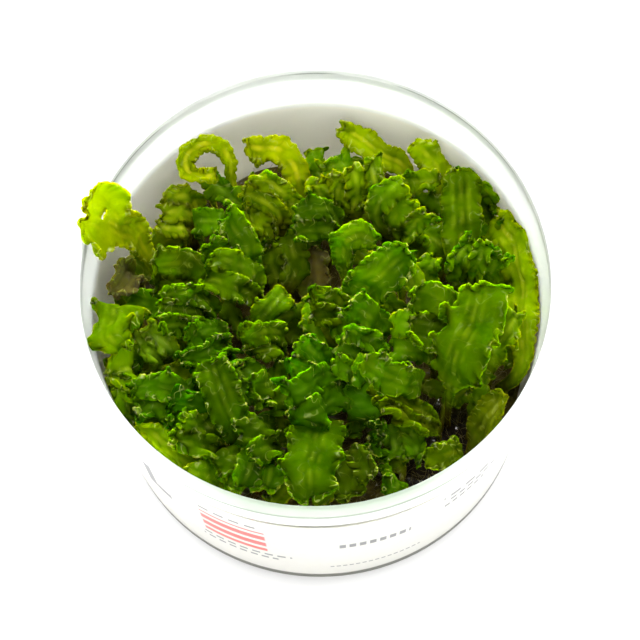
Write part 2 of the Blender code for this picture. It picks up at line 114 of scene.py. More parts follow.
# Finer grain: steps round the cup and the felt, a ribbon's step along it in mm, and its columns across
ROUND_STEPS = 128
FELT_RINGS = 70
FELT_STEPS = 220
FINE_STEP = 0.28
FINE_COLUMNS = 19
LONE_COLUMNS = 29
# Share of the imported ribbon's breadth that a thallus with one arm takes up
LONE_BREADTH = 0.72
# How far a blade's sides bow down, for its half breadth
BOW = 0.42
# Waves of a margin: length along it, height, and how far in from the edge they reach
CRIMPS = ((6.5, 0.6, 2.6), (1.9, 0.72, 1.5), (1.0, 0.12, 0.6))
# Length of a tooth of the margin in mm, and how far in from the edge the teeth reach
TOOTH = 1.3
TOOTH_REACH = 0.9
# The midrib's half width in mm, and how far from its middle the groove and the fold beside it run
RIB_WIDTH = 0.45
GROOVE_PLACE = 0.9
FOLD_PLACE = 1.7
# How far in from the edge the skin is darkest, and how far in it is darker than the blade
EDGE_WIDTH = 0.7
MARGIN_WIDTH = 1.8
# Thickness of the tissue in mm, before it thins at the edge
TISSUE = 0.85
# What the skin keeps at each point, for its colours and glints
SKIN = ("rib", "edge", "margin", "crest", "stalk")

# Young thalli: how many at most, how many places are tried, how far out they are seen and stand, and
# how far the last ones sink under the first
YOUNG_COUNT = 400
YOUNG_TRIES = 6000
YOUNG_REACH = 43.5
YOUNG_SINK = 16.0
YOUNG_FOOT_REACH = 39.0
# The height that divides the lower storey from the upper, the grain of the upper and of the lower one,
# and the tissue's thickness
LOWER_STOREY = 42.0
YOUNG_STEP = (0.34, 0.5)
YOUNG_COLUMNS = (15, 11)
YOUNG_TISSUE = 0.8
# The tones that they are drawn from, the commonest most often
YOUNG_TONES = ("mid", "mid", "mid", "dark", "light", "light", "mid")
# The room that tissue takes up, in cubes: their size in mm, and how many from the middle out
VOXEL = 0.8
VOXELS = 88
# The canopy as seen, in squares: how many from the middle out, and how many to a mm
CANOPY_CELLS = 120
CANOPY_FINENESS = 2.0
# Its level is read over so many squares each way, from tissue above a height in mm, and is taken as the
# usual one where too few squares hold any
LEVEL_SQUARES = 12
LEVEL_FROM = 42.0
LEVEL_COUNT = 40
USUAL_LEVEL = 46.0
# Gaps that stay open down to the mat: middle and half size, as seen
OPEN_PLACES = (
    (21, -28.5, 13.5, 6.5), (19.5, -16.5, 3.5, 3.5), (35.5, -18, 3.5, 5), (-12.5, -13.5, 2, 2),
    (-5, -12.5, 2.5, 2.5), (-4, -28, 1.5, 2), (-24, -33, 2, 2), (-9.5, -38, 2, 2), (-33, 13, 4.5, 3.5),
    (-16, 0, 4, 3), (-20, 33, 7, 5.5), (-10, 30, 4.5, 4), (16.5, 26, 2.5, 5), (0, 40, 60, 4),
)
# Places by the wall that small thalli fill although the mat can't be seen there
FULL_PLACES = ((36, 23, 5, 6), (40, 13, 3, 6), (-43, -8, 2.5, 6), (-41, -16, 3, 5))

# One arm of a thallus: its place across the ribbon, its breadth, where it starts and ends, and its bends
Arm = namedtuple("Arm", "centre breadth start end lift tilt curl")
WHOLE_RIBBON = Arm(0.0, 1.0, 0.0, 1.0, 0.0, 0.0, 0.0)
# A ribbon as the imported part has it, then what is finer: how strongly red and green show in it, which is
# its tissue's own tint together with painted light that brightens thalli in shade and dims some in the open,
# how many arms it forks into, how broad a single arm is, where a head starts on a narrow stalk and the
# stalk's breadth to the head's, and a worn hole's distance from tip and midrib and its radius
Thallus = namedtuple(
    "Thallus",
    "name tone width root spine turn cup ruffle fork tint arms broad head hole",
    defaults=(0, 0.1, 0.9, 0.0, (1.0, 1.0), 2, LONE_BREADTH, (0.0, 1.0), (0.0, 0.0, 0.0)),
)


def thallus(name, tone, width, root, *spine, **looks):
    """One ribbon: its root on the mat, then the places its midrib passes."""
    return Thallus(name, tone, width, root, spine, **looks)


THALLI = [
    # Back left, from the lobe over the rim to the arch
    thallus("over_rim", "bright", 10.5, (-31, 12), (-36.5, 17, 50), (-39.5, 19, 58.5), (-43.5, 21.5, 65),
            (-48.5, 22.5, 66.5), ruffle=0.8, fork=0.2, tint=(1.1, 0.8), arms=1, broad=1.0,
            head=(0.68, 0.5), hole=(5.0, 1.0, 0.75)),
    thallus("back_curl", "bright", 3.6, (-17, 24), (-16.3, 27, 40), (-16.5, 34, 48), (-19, 37.5, 51),
            (-24, 36.5, 52), (-25.5, 32, 52), (-22, 30, 51), (-18.5, 31.5, 49), ruffle=0.5,
            tint=(1.5, 1.2), arms=1),
    thallus("back_arch", "bright", 5, (-2, 25), (-3, 24.5, 38), (-3.4, 30.5, 47), (-6, 34.5, 50),
            (-10.5, 35.7, 50), (-15, 36.8, 49), ruffle=0.6, tint=(2, 1.5), arms=1),
    thallus("left_dark", "dark", 7.5, (-25, 18), (-26, 21, 38), (-29, 22, 43), (-34, 22.5, 45),
            tint=(6.4, 3.5), arms=3),
    thallus("left_serrate", "light", 8.5, (-15, 12), (-16, 10.5, 45), (-18, 16, 51), (-23, 20.5, 53),
            ruffle=1.0, fork=0.15, tint=(0.9, 0.8)),
    thallus("left_striped", "light", 6.5, (-11, 5), (-13.5, 5, 44), (-18.5, 8, 51), (-25, 11, 52),
            tint=(1.2, 1)),
    thallus("left_ribbed", "mid", 7, (-23, 8), (-25.5, 6.5, 45), (-30, 8, 50), (-35, 7, 50),
            tint=(1.2, 0.8)),
    thallus("left_old", "brown", 5, (-35, 12), (-37, 10, 42), (-38.7, 7, 46), (-41, 4.5, 47), ruffle=0.5,
            tint=(1.4, 2.2), arms=1, broad=0.85),
    # Left wall
    thallus("left_frill", "bright", 6.5, (-38, 2), (-41, 1.5, 48), (-44, 0, 54), (-44.6, -4, 56),
            (-42.5, -8, 55), tint=(0.6, 0.7), arms=1, broad=1.1),
    thallus("left_patch", "bright", 6.5, (-36, -8), (-38, -12, 46), (-40.5, -12, 50), (-43, -13, 51),
            ruffle=0.5, tint=(1.1, 1.3), arms=1, broad=1.2),
    thallus("left_slant", "olive", 5, (-30, -5), (-33, -8, 45), (-36, -4.5, 49), (-39.5, -1.5, 51),
            ruffle=0.6, tint=(2.5, 4.1)),
    # Between the middle and the left wall
    thallus("frizzed", "mid", 7, (-21, 1), (-23, -1, 46), (-28.5, 0.5, 52), (-34.5, 1.5, 53), ruffle=1.3,
            tint=(0.9, 0.8), arms=3),
    thallus("left_fan", "mid", 8, (-17, -7), (-20, -9, 44), (-25, -11.5, 50), (-31, -13, 52), ruffle=1.1,
            fork=0.2, tint=(0.7, 0.8), arms=3),
    thallus("broad_strip", "mid", 8, (-16, -23), (-18.5, -27.5, 43), (-20, -23, 50), (-22, -17, 52),
            (-23, -11, 50), cup=-0.1, ruffle=0.6, tint=(0.7, 0.6), arms=1),
    thallus("strip_branch", "olive", 6, (-9, -15), (-11.5, -18, 43), (-15, -15.5, 48), (-19, -11.5, 50),
            ruffle=0.5, tint=(1.1, 2.2)),
    # Lower left
    thallus("lower_crest", "light", 6.5, (-23, -15), (-26, -21, 44), (-32, -19, 49), (-40, -18.5, 50),
            ruffle=1.2, tint=(0.8, 0.9)),
    thallus("lower_fold", "mid", 6, (-22, -20), (-21.5, -26, 44), (-26, -23.5, 49), (-32.5, -22.5, 50),
            ruffle=1.1, tint=(0.5, 0.7)),
    thallus("lower_frizz", "mid", 6.5, (-19, -26), (-21.5, -29, 45), (-26, -27.5, 50), (-31.5, -26.5, 51),
            ruffle=1.2, tint=(1.4, 1.2)),
    thallus("tongue", "bright", 7, (-25, -27), (-27, -32, 40), (-31, -29.5, 44), (-36, -26, 47),
            (-39.5, -23, 48), cup=0.18, ruffle=0.3, tint=(2.1, 2.4), arms=1, broad=0.8),
    thallus("tongue_foot", "bright", 5, (-20, -33), (-23, -36.5, 42), (-26.5, -35.5, 47), (-30, -33.5, 49),
            ruffle=0.4, tint=(0.7, 0.9), arms=1, broad=1.0),
    # Front
    thallus("front_left", "mid", 7, (-8, -26), (-11.5, -29.5, 42), (-15, -29.5, 49), (-19, -32.5, 50),
            ruffle=1.1, tint=(0.9, 0.8)),
    thallus("front_corner", "mid", 6, (-14, -31), (-17.5, -34, 41), (-20.5, -35.5, 46), (-23, -36.5, 47),
            ruffle=0.8, tint=(1.5, 1.3)),
    thallus("front_streaked", "light", 6, (-10, -30), (-12.5, -33, 44), (-14, -38, 47), (-14.5, -41.5, 45),
            ruffle=0.7, tint=(1, 1)),
    thallus("front_big", "light", 9, (3, -19), (0, -24, 45), (-2, -29, 53), (-3.3, -35, 55.5),
            (-3.3, -41, 53), ruffle=1.0, tint=(0.7, 0.6), arms=1, broad=0.8),
    thallus("front_right", "olive", 6.5, (5, -27), (4.5, -33, 42), (6.5, -37, 47), (9, -41.5, 48),
            ruffle=0.8, tint=(0.5, 0.7)),
    thallus("pit_frizz", "dark", 6, (9, -24), (10, -31, 40), (10, -31, 45), (7, -30.5, 47), ruffle=1.1,
            tint=(0.6, 0.6)),
    thallus("pit_leaf", "dark", 6.5, (15, -22), (15.5, -27.5, 35), (16.5, -32, 39), (17, -35.5, 41),
            ruffle=1.0, tint=(3.4, 3.2)),
    thallus("front_pale", "light", 5, (12, -32), (13, -37.5, 40), (14, -39.5, 45), (11, -41, 47),
            ruffle=0.9, tint=(0.5, 0.5), arms=1),
    thallus("front_bright", "bright", 5, (28, -28), (28, -34.5, 41), (25, -35, 47), (20, -36, 48.5),
            ruffle=0.5, tint=(0.3, 0.3), arms=1),
    thallus("front_tongue", "light", 7.5, (8, -13), (4, -17, 46), (0, -19, 51), (-4, -21, 54),
            (-8.5, -22, 54), ruffle=1.1, tint=(0.5, 0.6)),
    thallus("front_curl", "mid", 7, (-5, -15), (-8.5, -18, 44), (-12, -19.5, 50), (-15, -23, 51),
            ruffle=1.2, tint=(0.9, 0.8)),
    # Middle
    thallus("middle_arch", "mid", 5.5, (-6, -6), (-8.5, -9, 44), (-12.5, -9.3, 50), (-17, -11, 51),
            ruffle=1.0, tint=(0.9, 0.7)),
    thallus("middle_hook", "light", 6, (3, -10), (0.5, -15.5, 45), (-3, -12, 51), (-5.5, -8, 53),
            ruffle=1.0, tint=(0.8, 1)),
    thallus("middle_spray", "mid", 8, (12, -11), (10, -14.5, 44), (6, -11.5, 51), (1, -9, 53), ruffle=1.1,
            fork=0.2, tint=(1.1, 1.2), arms=3),
    thallus("middle_shade", "dark", 9, (15, -16), (13, -19, 42), (8, -19, 46), (3, -20, 48), ruffle=0.6,
            tint=(1.8, 2)),
    thallus("middle_lobe", "light", 7, (13, -6), (11.5, -8, 46), (8, -4.5, 52), (3.5, -1, 53), ruffle=0.8,
            tint=(0.8, 0.8)),
    thallus("middle_frill", "mid", 5, (6, 2), (4.5, -1.5, 46), (1, 0, 50), (-4.5, 0.3, 51), ruffle=1.2,
            tint=(1, 0.7)),
    # Right
    thallus("forked_upper", "bright", 6.5, (19, -12.5), (20, -19, 44), (17, -18.3, 50), (12.5, -16, 54.5),
            (8, -12.5, 56), ruffle=0.8, tint=(0.3, 0.4), arms=1),
    thallus("forked_lower", "bright", 6, (23.5, -25), (22, -29, 36), (16.5, -26.5, 41.5), (11, -23, 45.5),
            (5.5, -24, 47), ruffle=1.0, fork=0.2, tint=(0.4, 0.4)),
    thallus("right_ribbed", "mid", 9, (26, -2), (26, -7, 45), (21.5, -4, 51), (14, -2.5, 53), ruffle=0.8,
            tint=(1.1, 0.9)),
    thallus("right_smooth", "light", 7.5, (24, -8), (23.5, -11, 44), (18.5, -10, 49), (11.5, -9.5, 50),
            ruffle=0.4, tint=(1.8, 1.7)),
    thallus("right_big", "light", 9.5, (26, -18.5), (25.5, -19.5, 45), (26, -14, 53), (29, -7, 57),
            (31.5, -1, 57.5), (31, 3.5, 55.5), ruffle=1.0, fork=0.15, tint=(1, 0.8), arms=1, broad=0.88,
            head=(0.34, 0.3)),
    thallus("midrib_leaf", "light", 8.5, (8, 5), (9, 1.5, 46), (14, 6, 53), (19.5, 11, 54.5), ruffle=0.9,
            tint=(0.9, 0.8), arms=1),
    thallus("hooked", "light", 6, (6, 10), (6, 9, 43), (5.5, 13, 49), (8.5, 15.3, 51.5), (13, 13, 51),
            ruffle=0.5, tint=(1, 0.8), arms=1),
    thallus("right_band", "bright", 6, (37, -12), (41.5, -17, 42), (42.7, -9, 45), (43, 0, 46.5),
            (42.7, 10, 47), (40, 19, 46), turn=-35, cup=0.2, ruffle=0.6, tint=(1.5, 1.5), arms=1,
            broad=0.95),
    thallus("right_foot", "olive", 5, (30, -26), (32, -31, 35), (35.3, -27, 43), (38.5, -22, 47), turn=-25,
            ruffle=0.4, tint=(1.8, 1.9), arms=1, broad=1.0),
    thallus("right_frizz", "light", 8, (32, 6), (33, 5, 44), (35, 9, 50), (36, 14, 52), ruffle=1.2,
            tint=(1.3, 1.2), arms=3),
    # Back
    thallus("right_strip", "light", 5, (30, 9), (30.5, 6, 40), (31, 15, 46), (31.5, 23, 47), (31, 29, 46),
            ruffle=0.4, tint=(1.6, 1.2), arms=1, broad=1.05),
    thallus("back_tip", "bright", 4.5, (27, 24), (27.5, 30, 43), (25, 33.5, 47), (22.3, 36.5, 48),
            ruffle=0.5, tint=(1.7, 1.6), arms=1, broad=0.9),
    thallus("lobed", "light", 9, (16, 18), (17, 18, 44), (20.5, 22, 50), (24, 26, 50), ruffle=1.0,
            fork=0.25, tint=(1.7, 1.4), arms=3),
    thallus("back_band", "bright", 5.5, (21, 28), (20.5, 29.5, 38), (15, 33.5, 43.5), (10, 38, 46),
            (6.5, 40.3, 46), turn=25, ruffle=0.4, tint=(1.6, 1.4), arms=1),
    thallus("crown", "mid", 11, (6, 21), (7, 21, 42), (7, 27, 49), (5.5, 33, 49), ruffle=1.2, fork=0.3,
            tint=(3.1, 2.2), arms=4),
    thallus("lying", "mid", 6, (3, 17), (4, 17.5, 44), (-1, 18.3, 49), (-7.5, 17.5, 50), ruffle=0.8,
            tint=(0.9, 0.8)),
    thallus("middle_old", "brown", 8, (-1, 5), (-1, 2, 32), (0, 8, 37), (0, 13, 39), ruffle=0.6,
            tint=(1.9, 3.1), arms=1),
    thallus("back_slant", "mid", 8.5, (-7, 18), (-6.5, 20.5, 43), (-10, 24.5, 49), (-15.5, 27.5, 50),
            ruffle=1.0, tint=(2.7, 1.7), arms=3),
    thallus("upright_dark", "dark", 7, (-7, 8), (-7, 6, 37), (-7.5, 12, 41), (-9.5, 16, 43), ruffle=0.8,
            tint=(1.6, 1)),
]

# Small thalli pressed along the wall, too slight for solids of their own
WALL_THALLI = [
    thallus("young", "mid", 4.5, (-34, -10), (-38, -15, 40), (-41, -17.5, 45), (-42.5, -15, 48),
            (-43.5, -11, 49), tint=(1.6, 1.4)),
    thallus("young", "light", 4, (-33, -16), (-37, -21.5, 40), (-39.5, -21.5, 45), (-41.5, -18.5, 47),
            (-42.5, -15.5, 48), tint=(1.4, 1.3)),
    thallus("young", "light", 5, (33, 14), (34, 18, 38), (36.5, 22, 44), (36.8, 24.5, 46), (35.5, 27, 47),
            tint=(1.5, 1.4)),
    thallus("young", "light", 4.5, (36, 7), (39, 11, 40), (41, 15, 45), (41, 18, 46.5), tint=(1.9, 1.5)),
    thallus("young", "mid", 4, (30, 18), (31.5, 22, 38), (33.5, 26, 44), (32.5, 29.5, 46),
            tint=(1.6, 1.5)),
]


def linear(code):
    """A hex sRGB colour as linear RGBA."""
    parts = [int(code[k : k + 2], 16) / 255 for k in (1, 3, 5)]
    return (*[c / 12.92 if c <= 0.04045 else ((c + 0.055) / 1.055) ** 2.4 for c in parts], 1.0)


def blank_material(name):
    """An empty node material and its tree."""
    made = bpy.data.materials.new(name)
    made.use_nodes = True
    made.node_tree.nodes.clear()
    return made, made.node_tree


def add(tree, kind, inputs=(), out=0, **settings):
    """Adds a node with its settings, gives its sockets a value or a link each, and returns one output."""
    node = tree.nodes.new("ShaderNode" + kind)
    for key, value in settings.items():
        setattr(node, key, value)
    for key, value in (inputs if isinstance(inputs, dict) else dict(enumerate(inputs))).items():
        if isinstance(value, bpy.types.NodeSocket):
            tree.links.new(value, node.inputs[key])
        else:
            node.inputs[key].default_value = value
    return node.outputs[out] if node.outputs else None


def layered(tree, colour, *layers):
    """A colour with others laid over it in turn, each by its share."""
    for share, over in layers:
        colour = add(tree, "Mix", {0: share, 6: colour, 7: over}, 2, data_type="RGBA")
    return colour


def product(tree, first, *others):
    """Numbers or sockets multiplied together."""
    for factor in others:
        first = add(tree, "Math", (first, factor), operation="MULTIPLY")
    return first


def banded(tree, value, low, high, soft=0.15):
    """One between two numbers and none outside them, with a soft edge."""
    up = add(tree, "MapRange", (value, low - soft, low + soft))
    down = add(tree, "MapRange", (value, high + soft, high - soft))
    return product(tree, up, down)


def finish_piece(obj, material, slot, *nodes):
    """Gives a piece its material and its body, and hides the nodes that it stands for. The slot is not used.
    """
    obj.data.materials.clear()
    obj.data.materials.append(material)
    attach(obj, "root")
    if nodes:
        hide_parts(*nodes)
    return obj


def link_mesh(name, bm, smooth_angle=None):
    """Turns a bmesh into a linked object at the origin."""
    mesh = bpy.data.meshes.new(name)
    bm.to_mesh(mesh)
    bm.free()
    obj = bpy.data.objects.new(name, mesh)
    bpy.context.scene.collection.objects.link(obj)
    mesh.shade_smooth()
    if smooth_angle is not None:
        mesh.set_sharp_from_angle(angle=math.radians(smooth_angle))
    return obj


def spun(name, profile, steps=ROUND_STEPS, smooth_angle=40):
    """A shape spun about Z from a profile of (radius, height) in mm."""
    bm = bmesh.new()
    verts = [bm.verts.new((r * MM, 0, z * MM)) for r, z in profile]
    edges = [bm.edges.new(pair) for pair in zip(verts, verts[1:])]
    bmesh.ops.spin(
        bm, geom=verts + edges, cent=(0, 0, 0), axis=(0, 0, 1), angle=math.tau, steps=steps, use_merge=True
    )
    bmesh.ops.remove_doubles(bm, verts=bm.verts, dist=1e-6)
    bmesh.ops.recalc_face_normals(bm, faces=bm.faces)
    return link_mesh(name, bm, smooth_angle)


def wall_radius(z):
    """Outer radius of the tapering wall at a height, up to the shoulder."""
    share = (z - BASE_CORNER) / (SHOULDER_HEIGHT - BASE_CORNER)
    return BASE_RADIUS + (WALL_TOP_RADIUS - BASE_RADIUS) * share


def inner_radius(z):
    """Inner radius of the cup at a height, as a number or an array."""
    wall = wall_radius(np.minimum(z, SHOULDER_HEIGHT)) - WALL_THICKNESS
    lip = (z - SHOULDER_HEIGHT) / (RIM_HEIGHT - SHOULDER_HEIGHT)
    top = wall_radius(SHOULDER_HEIGHT) - WALL_THICKNESS
    upper = top + (RIM_INNER_RADIUS - top) * np.clip(lip * 3.0, 0.0, 1.0)
    return np.where(z < SHOULDER_HEIGHT, wall, upper)


def mat_surface(x, y):
    """Height of the lumpy top of the mat, in mm."""
    lumps = MAT_LUMP * np.sin(0.27 * x + 0.9) * np.cos(0.24 * y - 0.4)
    mound = MAT_MOUND * np.exp(-((x + 4) ** 2 + (y - 6) ** 2) / 500.0)
    pit = MAT_PIT * np.exp(-((x - 26) ** 2 + (y + 22) ** 2) / 90.0)
    return MAT_LEVEL + lumps + mound - pit


def unit(vectors):
    """Vectors scaled to length one, along the last axis."""
    return vectors / np.maximum(np.linalg.norm(vectors, axis=-1, keepdims=True), 1e-9)


def eased(x):
    """A smooth step from 0 to 1."""
    x = np.clip(x, 0.0, 1.0)
    return x * x * (3 - 2 * x)


def spine_curve(points, samples=240):
    """A smooth curve through the points, read at even steps of its own parameter."""
    points = np.array(points, float)
    return curve_reader(len(points), np.linspace(0, len(points) - 1, samples)) @ points


def curve_reader(count, at):
    """Matrix that reads a smooth curve through count points at the given parameters."""
    k = np.minimum(at.astype(int), count - 2)
    f = at - k
    weights = np.stack(
        [-f + 2 * f**2 - f**3, 2 - 5 * f**2 + 3 * f**3, f + 4 * f**2 - 3 * f**3, -(f**2) + f**3]
    ) * 0.5
    matrix = np.zeros((len(at), count + 2))
    for offset in range(4):
        matrix[np.arange(len(at)), k + offset] += weights[offset]
    matrix[:, 1] += 2 * matrix[:, 0]
    matrix[:, 2] -= matrix[:, 0]
    matrix[:, -2] += 2 * matrix[:, -1]
    matrix[:, -3] -= matrix[:, -1]
    return matrix[:, 1:-1]


def opened(share):
    """How far a ribbon has opened from its narrow foot into a blade, at shares of its length."""
    return eased((share - 0.08) / 0.5)


def ribbon_grid(one, ground):
    """The ribbon's surface as rows of points from root to tip, before it makes room for the others."""
    x, y = one.root
    places = [(x, y, ground(x, y) + ROOT_CLEARANCE)]
    places += [(px, py + (SIGHT_LEVEL - pz) * SIGHT_SLOPE, pz) for px, py, pz in one.spine]
    curve = spine_curve(places)
    steps = np.concatenate([[0], np.cumsum(np.linalg.norm(np.diff(curve, axis=0), axis=1))])
    rows = int(np.clip(round(steps[-1] / CELL_LENGTH), LEAST_CELLS, MOST_CELLS)) + 1
    share = np.linspace(0, 1, rows)
    at = steps[-1] * share**0.8
    middle = np.stack([np.interp(at, steps, curve[:, k]) for k in range(3)], 1)
    along = unit(np.gradient(middle, axis=0))
    facing = np.zeros_like(along)
    towards = np.array([0.0, -0.38, 0.92])
    for k in reversed(range(rows)):
        flat = towards - along[k] * (towards @ along[k])
        if np.linalg.norm(flat) < 0.2:
            flat = np.array([0.0, -1.0, 0.0]) - along[k] * (-along[k][1])
        facing[k] = flat / np.linalg.norm(flat)
        towards = facing[k]
    across = np.cross(along, facing)
    roll = math.radians(one.turn)
    facing, across = (
        facing * math.cos(roll) + across * math.sin(roll),
        across * math.cos(roll) - facing * math.sin(roll),
    )
    blade = opened(share)
    tip = np.sqrt(1 - np.clip((share - TIP_START) / (1.025 - TIP_START), 0, 1) ** 2)
    half = 0.5 * FULLNESS * one.width * (STALK_SHARE + (1 - STALK_SHARE) * blade) * tip
    grid = np.zeros((rows, CELLS_ACROSS + 1, 3))
    wave = RUFFLE_GAIN * one.ruffle * eased((share - 0.25) / 0.35)
    wave = wave * np.where(np.arange(rows) % 2, 1.0, -1.0)
    wave[-1] *= 0.4
    notch = one.fork * one.width * eased((share - 0.6) / 0.4)
    for j, u in enumerate(np.linspace(-1, 1, CELLS_ACROSS + 1)):
        side = 1.0 if u > 0 else -0.8
        lift = one.cup * one.width * u * u * blade + side * wave * abs(u) ** 3
        back = notch * (1 - abs(u))
        grid[:, j] = middle + across * (half * u)[:, None] + facing * lift[:, None] - along * back[:, None]
    return grid


def halved(count):
    """Matrix that reads a line of points at every half step."""
    matrix = np.zeros((2 * count - 1, count))
    for k in range(2 * count - 1):
        matrix[k, k // 2] += 0.5
        matrix[k, (k + 1) // 2] += 0.5
    return matrix


def close_pairs(samples, owner, reach):
    """Indices of samples on unlike ribbons that lie within reach of each other."""
    found_a, found_b = [], []
    squares = (samples**2).sum(-1)
    for start in range(0, len(samples), 500):
        block = samples[start : start + 500]
        apart = squares[start : start + 500, None] + squares[None] - 2.0 * block @ samples.T
        a, b = np.nonzero(apart < reach * reach)
        a += start
        keep = (b > a) & (owner[a] != owner[b])
        found_a.append(a[keep])
        found_b.append(b[keep])
    return np.concatenate(found_a), np.concatenate(found_b)


def make_room(grids):
    """Moves the ribbons apart until none passes through another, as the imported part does."""
    readers = [halved(len(grid)) for grid in grids]
    across = halved(CELLS_ACROSS + 1)
    columns = len(across)
    moved = [np.zeros_like(grid) for grid in grids]
    weights = [np.outer(reader.sum(0), across.sum(0))[..., None] for reader in readers]
    owner = np.concatenate([np.full(len(r) * columns, k) for k, r in enumerate(readers)])
    row_of = np.concatenate([np.repeat(np.arange(len(r)), columns) for r in readers])
    first = second = None
    for turn in range(RELAX_ROUNDS):
        samples = np.concatenate(
            [(across @ np.tensordot(r, g + m, 1)).reshape(-1, 3) for r, g, m in zip(readers, grids, moved)]
        )
        if turn % 20 == 0:
            first, second = close_pairs(samples, owner, SPACING + 2.5)
            rooted = (row_of[first] == 0) & (row_of[second] == 0)
            first, second = first[~rooted], second[~rooted]
        gap = samples[first] - samples[second]
        apart = np.sqrt((gap**2).sum(-1))
        near = apart < SPACING
        one, two, gap, apart = first[near], second[near], gap[near], apart[near]
        step = gap * (0.5 * (SPACING - apart) / np.maximum(apart, 1e-6))[:, None]
        force = np.zeros_like(samples)
        count = np.zeros(len(samples))
        for index, sign in ((one, 1.0), (two, -1.0)):
            for axis in range(3):
                force[:, axis] += sign * np.bincount(index, step[:, axis], len(samples))
            count += np.bincount(index, minlength=len(samples))
        force /= np.maximum(1.0, 0.5 * count)[:, None]
        start = 0
        for k, reader in enumerate(readers):
            size = len(reader) * columns
            part = force[start : start + size].reshape(len(reader), columns, 3)
            start += size
            moved[k] += PUSH * np.tensordot(reader.T, across.T @ part, 1) / weights[k]
            for _ in range(2):
                moved[k] = smoothed(moved[k])
            moved[k] *= KEPT
            moved[k][0] = 0
            moved[k] = held_in(grids[k] + moved[k]) - grids[k]
    return [grid + move for grid, move in zip(grids, moved)]


def smoothed(field):
    """A ribbon's movement, each point drawn halfway to the mean of its neighbours."""
    wide = np.pad(field, ((1, 1), (1, 1), (0, 0)), mode="edge")
    mean = (wide[:-2, 1:-1] + wide[2:, 1:-1] + wide[1:-1, :-2] + wide[1:-1, 2:]) / 4
    return 0.5 * field + 0.5 * mean


def held_in(points):
    """Points kept inside the wall and above the mat, except those that have passed over the rim."""
    x, y, z = points[..., 0], points[..., 1], points[..., 2]
    reach = np.hypot(x, y)
    limit = inner_radius(z) - WALL_CLEARANCE
    inside = np.where((reach > limit) & (z < RIM_HEIGHT + 0.5), limit / np.maximum(reach, 1e-6), 1.0)
    low = np.maximum(z, mat_surface(x, y) + MAT_CLEARANCE)
    low[0] = z[0]
    return np.stack([x * inside, y * inside, low], -1)


def ground_under_plants():
    """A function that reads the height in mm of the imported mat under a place."""
    bm = bmesh.new()
    bm.from_mesh(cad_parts["rhizoid_mat"].data)
    tree = BVHTree.FromBMesh(bm)
    bm.free()

    def ground(x, y):
        """Height in mm of the mat under a place in mm."""
        return tree.ray_cast((x * MM, y * MM, RIM_HEIGHT * MM), (0, 0, -1))[0].z / MM

    return ground


class Ripples:
    """Smooth waves over a ribbon's own flat coordinates in mm, the same each run."""

    def __init__(self, rng):
        self.rng = rng

    def field(self, s, x, length, waves=7):
        """Waves of about one length that run in all directions, of size about one."""
        total = np.zeros_like(s)
        for _ in range(waves):
            way = self.rng.uniform(0, math.tau)
            size = math.tau / (length * self.rng.uniform(0.8, 1.3))
            phase = self.rng.uniform(0, math.tau)
            total += np.sin(size * (s * math.cos(way) + x * math.sin(way)) + phase)
        return total * 1.4 / math.sqrt(waves)


class Crimp:
    """A wave that runs along a margin, with a length and a strength that wander."""

    def __init__(self, rng, length):
        self.rate = math.tau / (length * rng.uniform(0.9, 1.15))
        self.phase = rng.uniform(0, math.tau)
        ranges = ((0.5, 1.4), (5, 13), (0, math.tau))
        self.wander = [[rng.uniform(*limits) for limits in ranges] for _ in range(3)]
        ranges = ((0.2, 0.4), (6, 15), (0, math.tau))
        self.swell = [[rng.uniform(*limits) for limits in ranges] for _ in range(2)]

    @staticmethod
    def swayed(total, at, sways):
        """A value with slow waves added, each with its size, its length and its phase."""
        for size, length, phase in sways:
            total = total + size * np.sin(math.tau * at / length + phase)
        return total

    def angle(self, at):
        """The wave's angle at places along the margin."""
        return self.swayed(self.rate * at + self.phase, at, self.wander)

    def strength(self, at):
        """The wave's strength there, about one."""
        return self.swayed(np.ones_like(at), at, self.swell)

    def tooth(self, at):
        """A tooth's outward shift there, between its point and the nick beside it."""
        return np.abs(np.sin(self.angle(at) / 2)) - 0.6


def arms_of(one, rng):
    """The arms that a thallus forks into, side by side across its packed ribbon."""
    if one.arms == 1:
        return [WHOLE_RIBBON._replace(breadth=one.broad)]
    arms = []
    for k in range(one.arms):
        draw = rng.uniform(-1, 1, size=5)
        centre = (2 * k + 1 - one.arms) / one.arms
        arms.append(
            Arm(
                centre=0.92 * centre,
                breadth=1.1 / one.arms + 0.06 * draw[0],
                start=0.0 if k == one.arms // 2 else 0.16,
                end=0.93 - 0.06 * abs(centre) + 0.05 * draw[1],
                lift=0.3 * (k % 2) + 0.9 * draw[2],
                tilt=0.3 * draw[3],
                curl=1.0 + 1.4 * draw[4],
            )
        )
    return arms


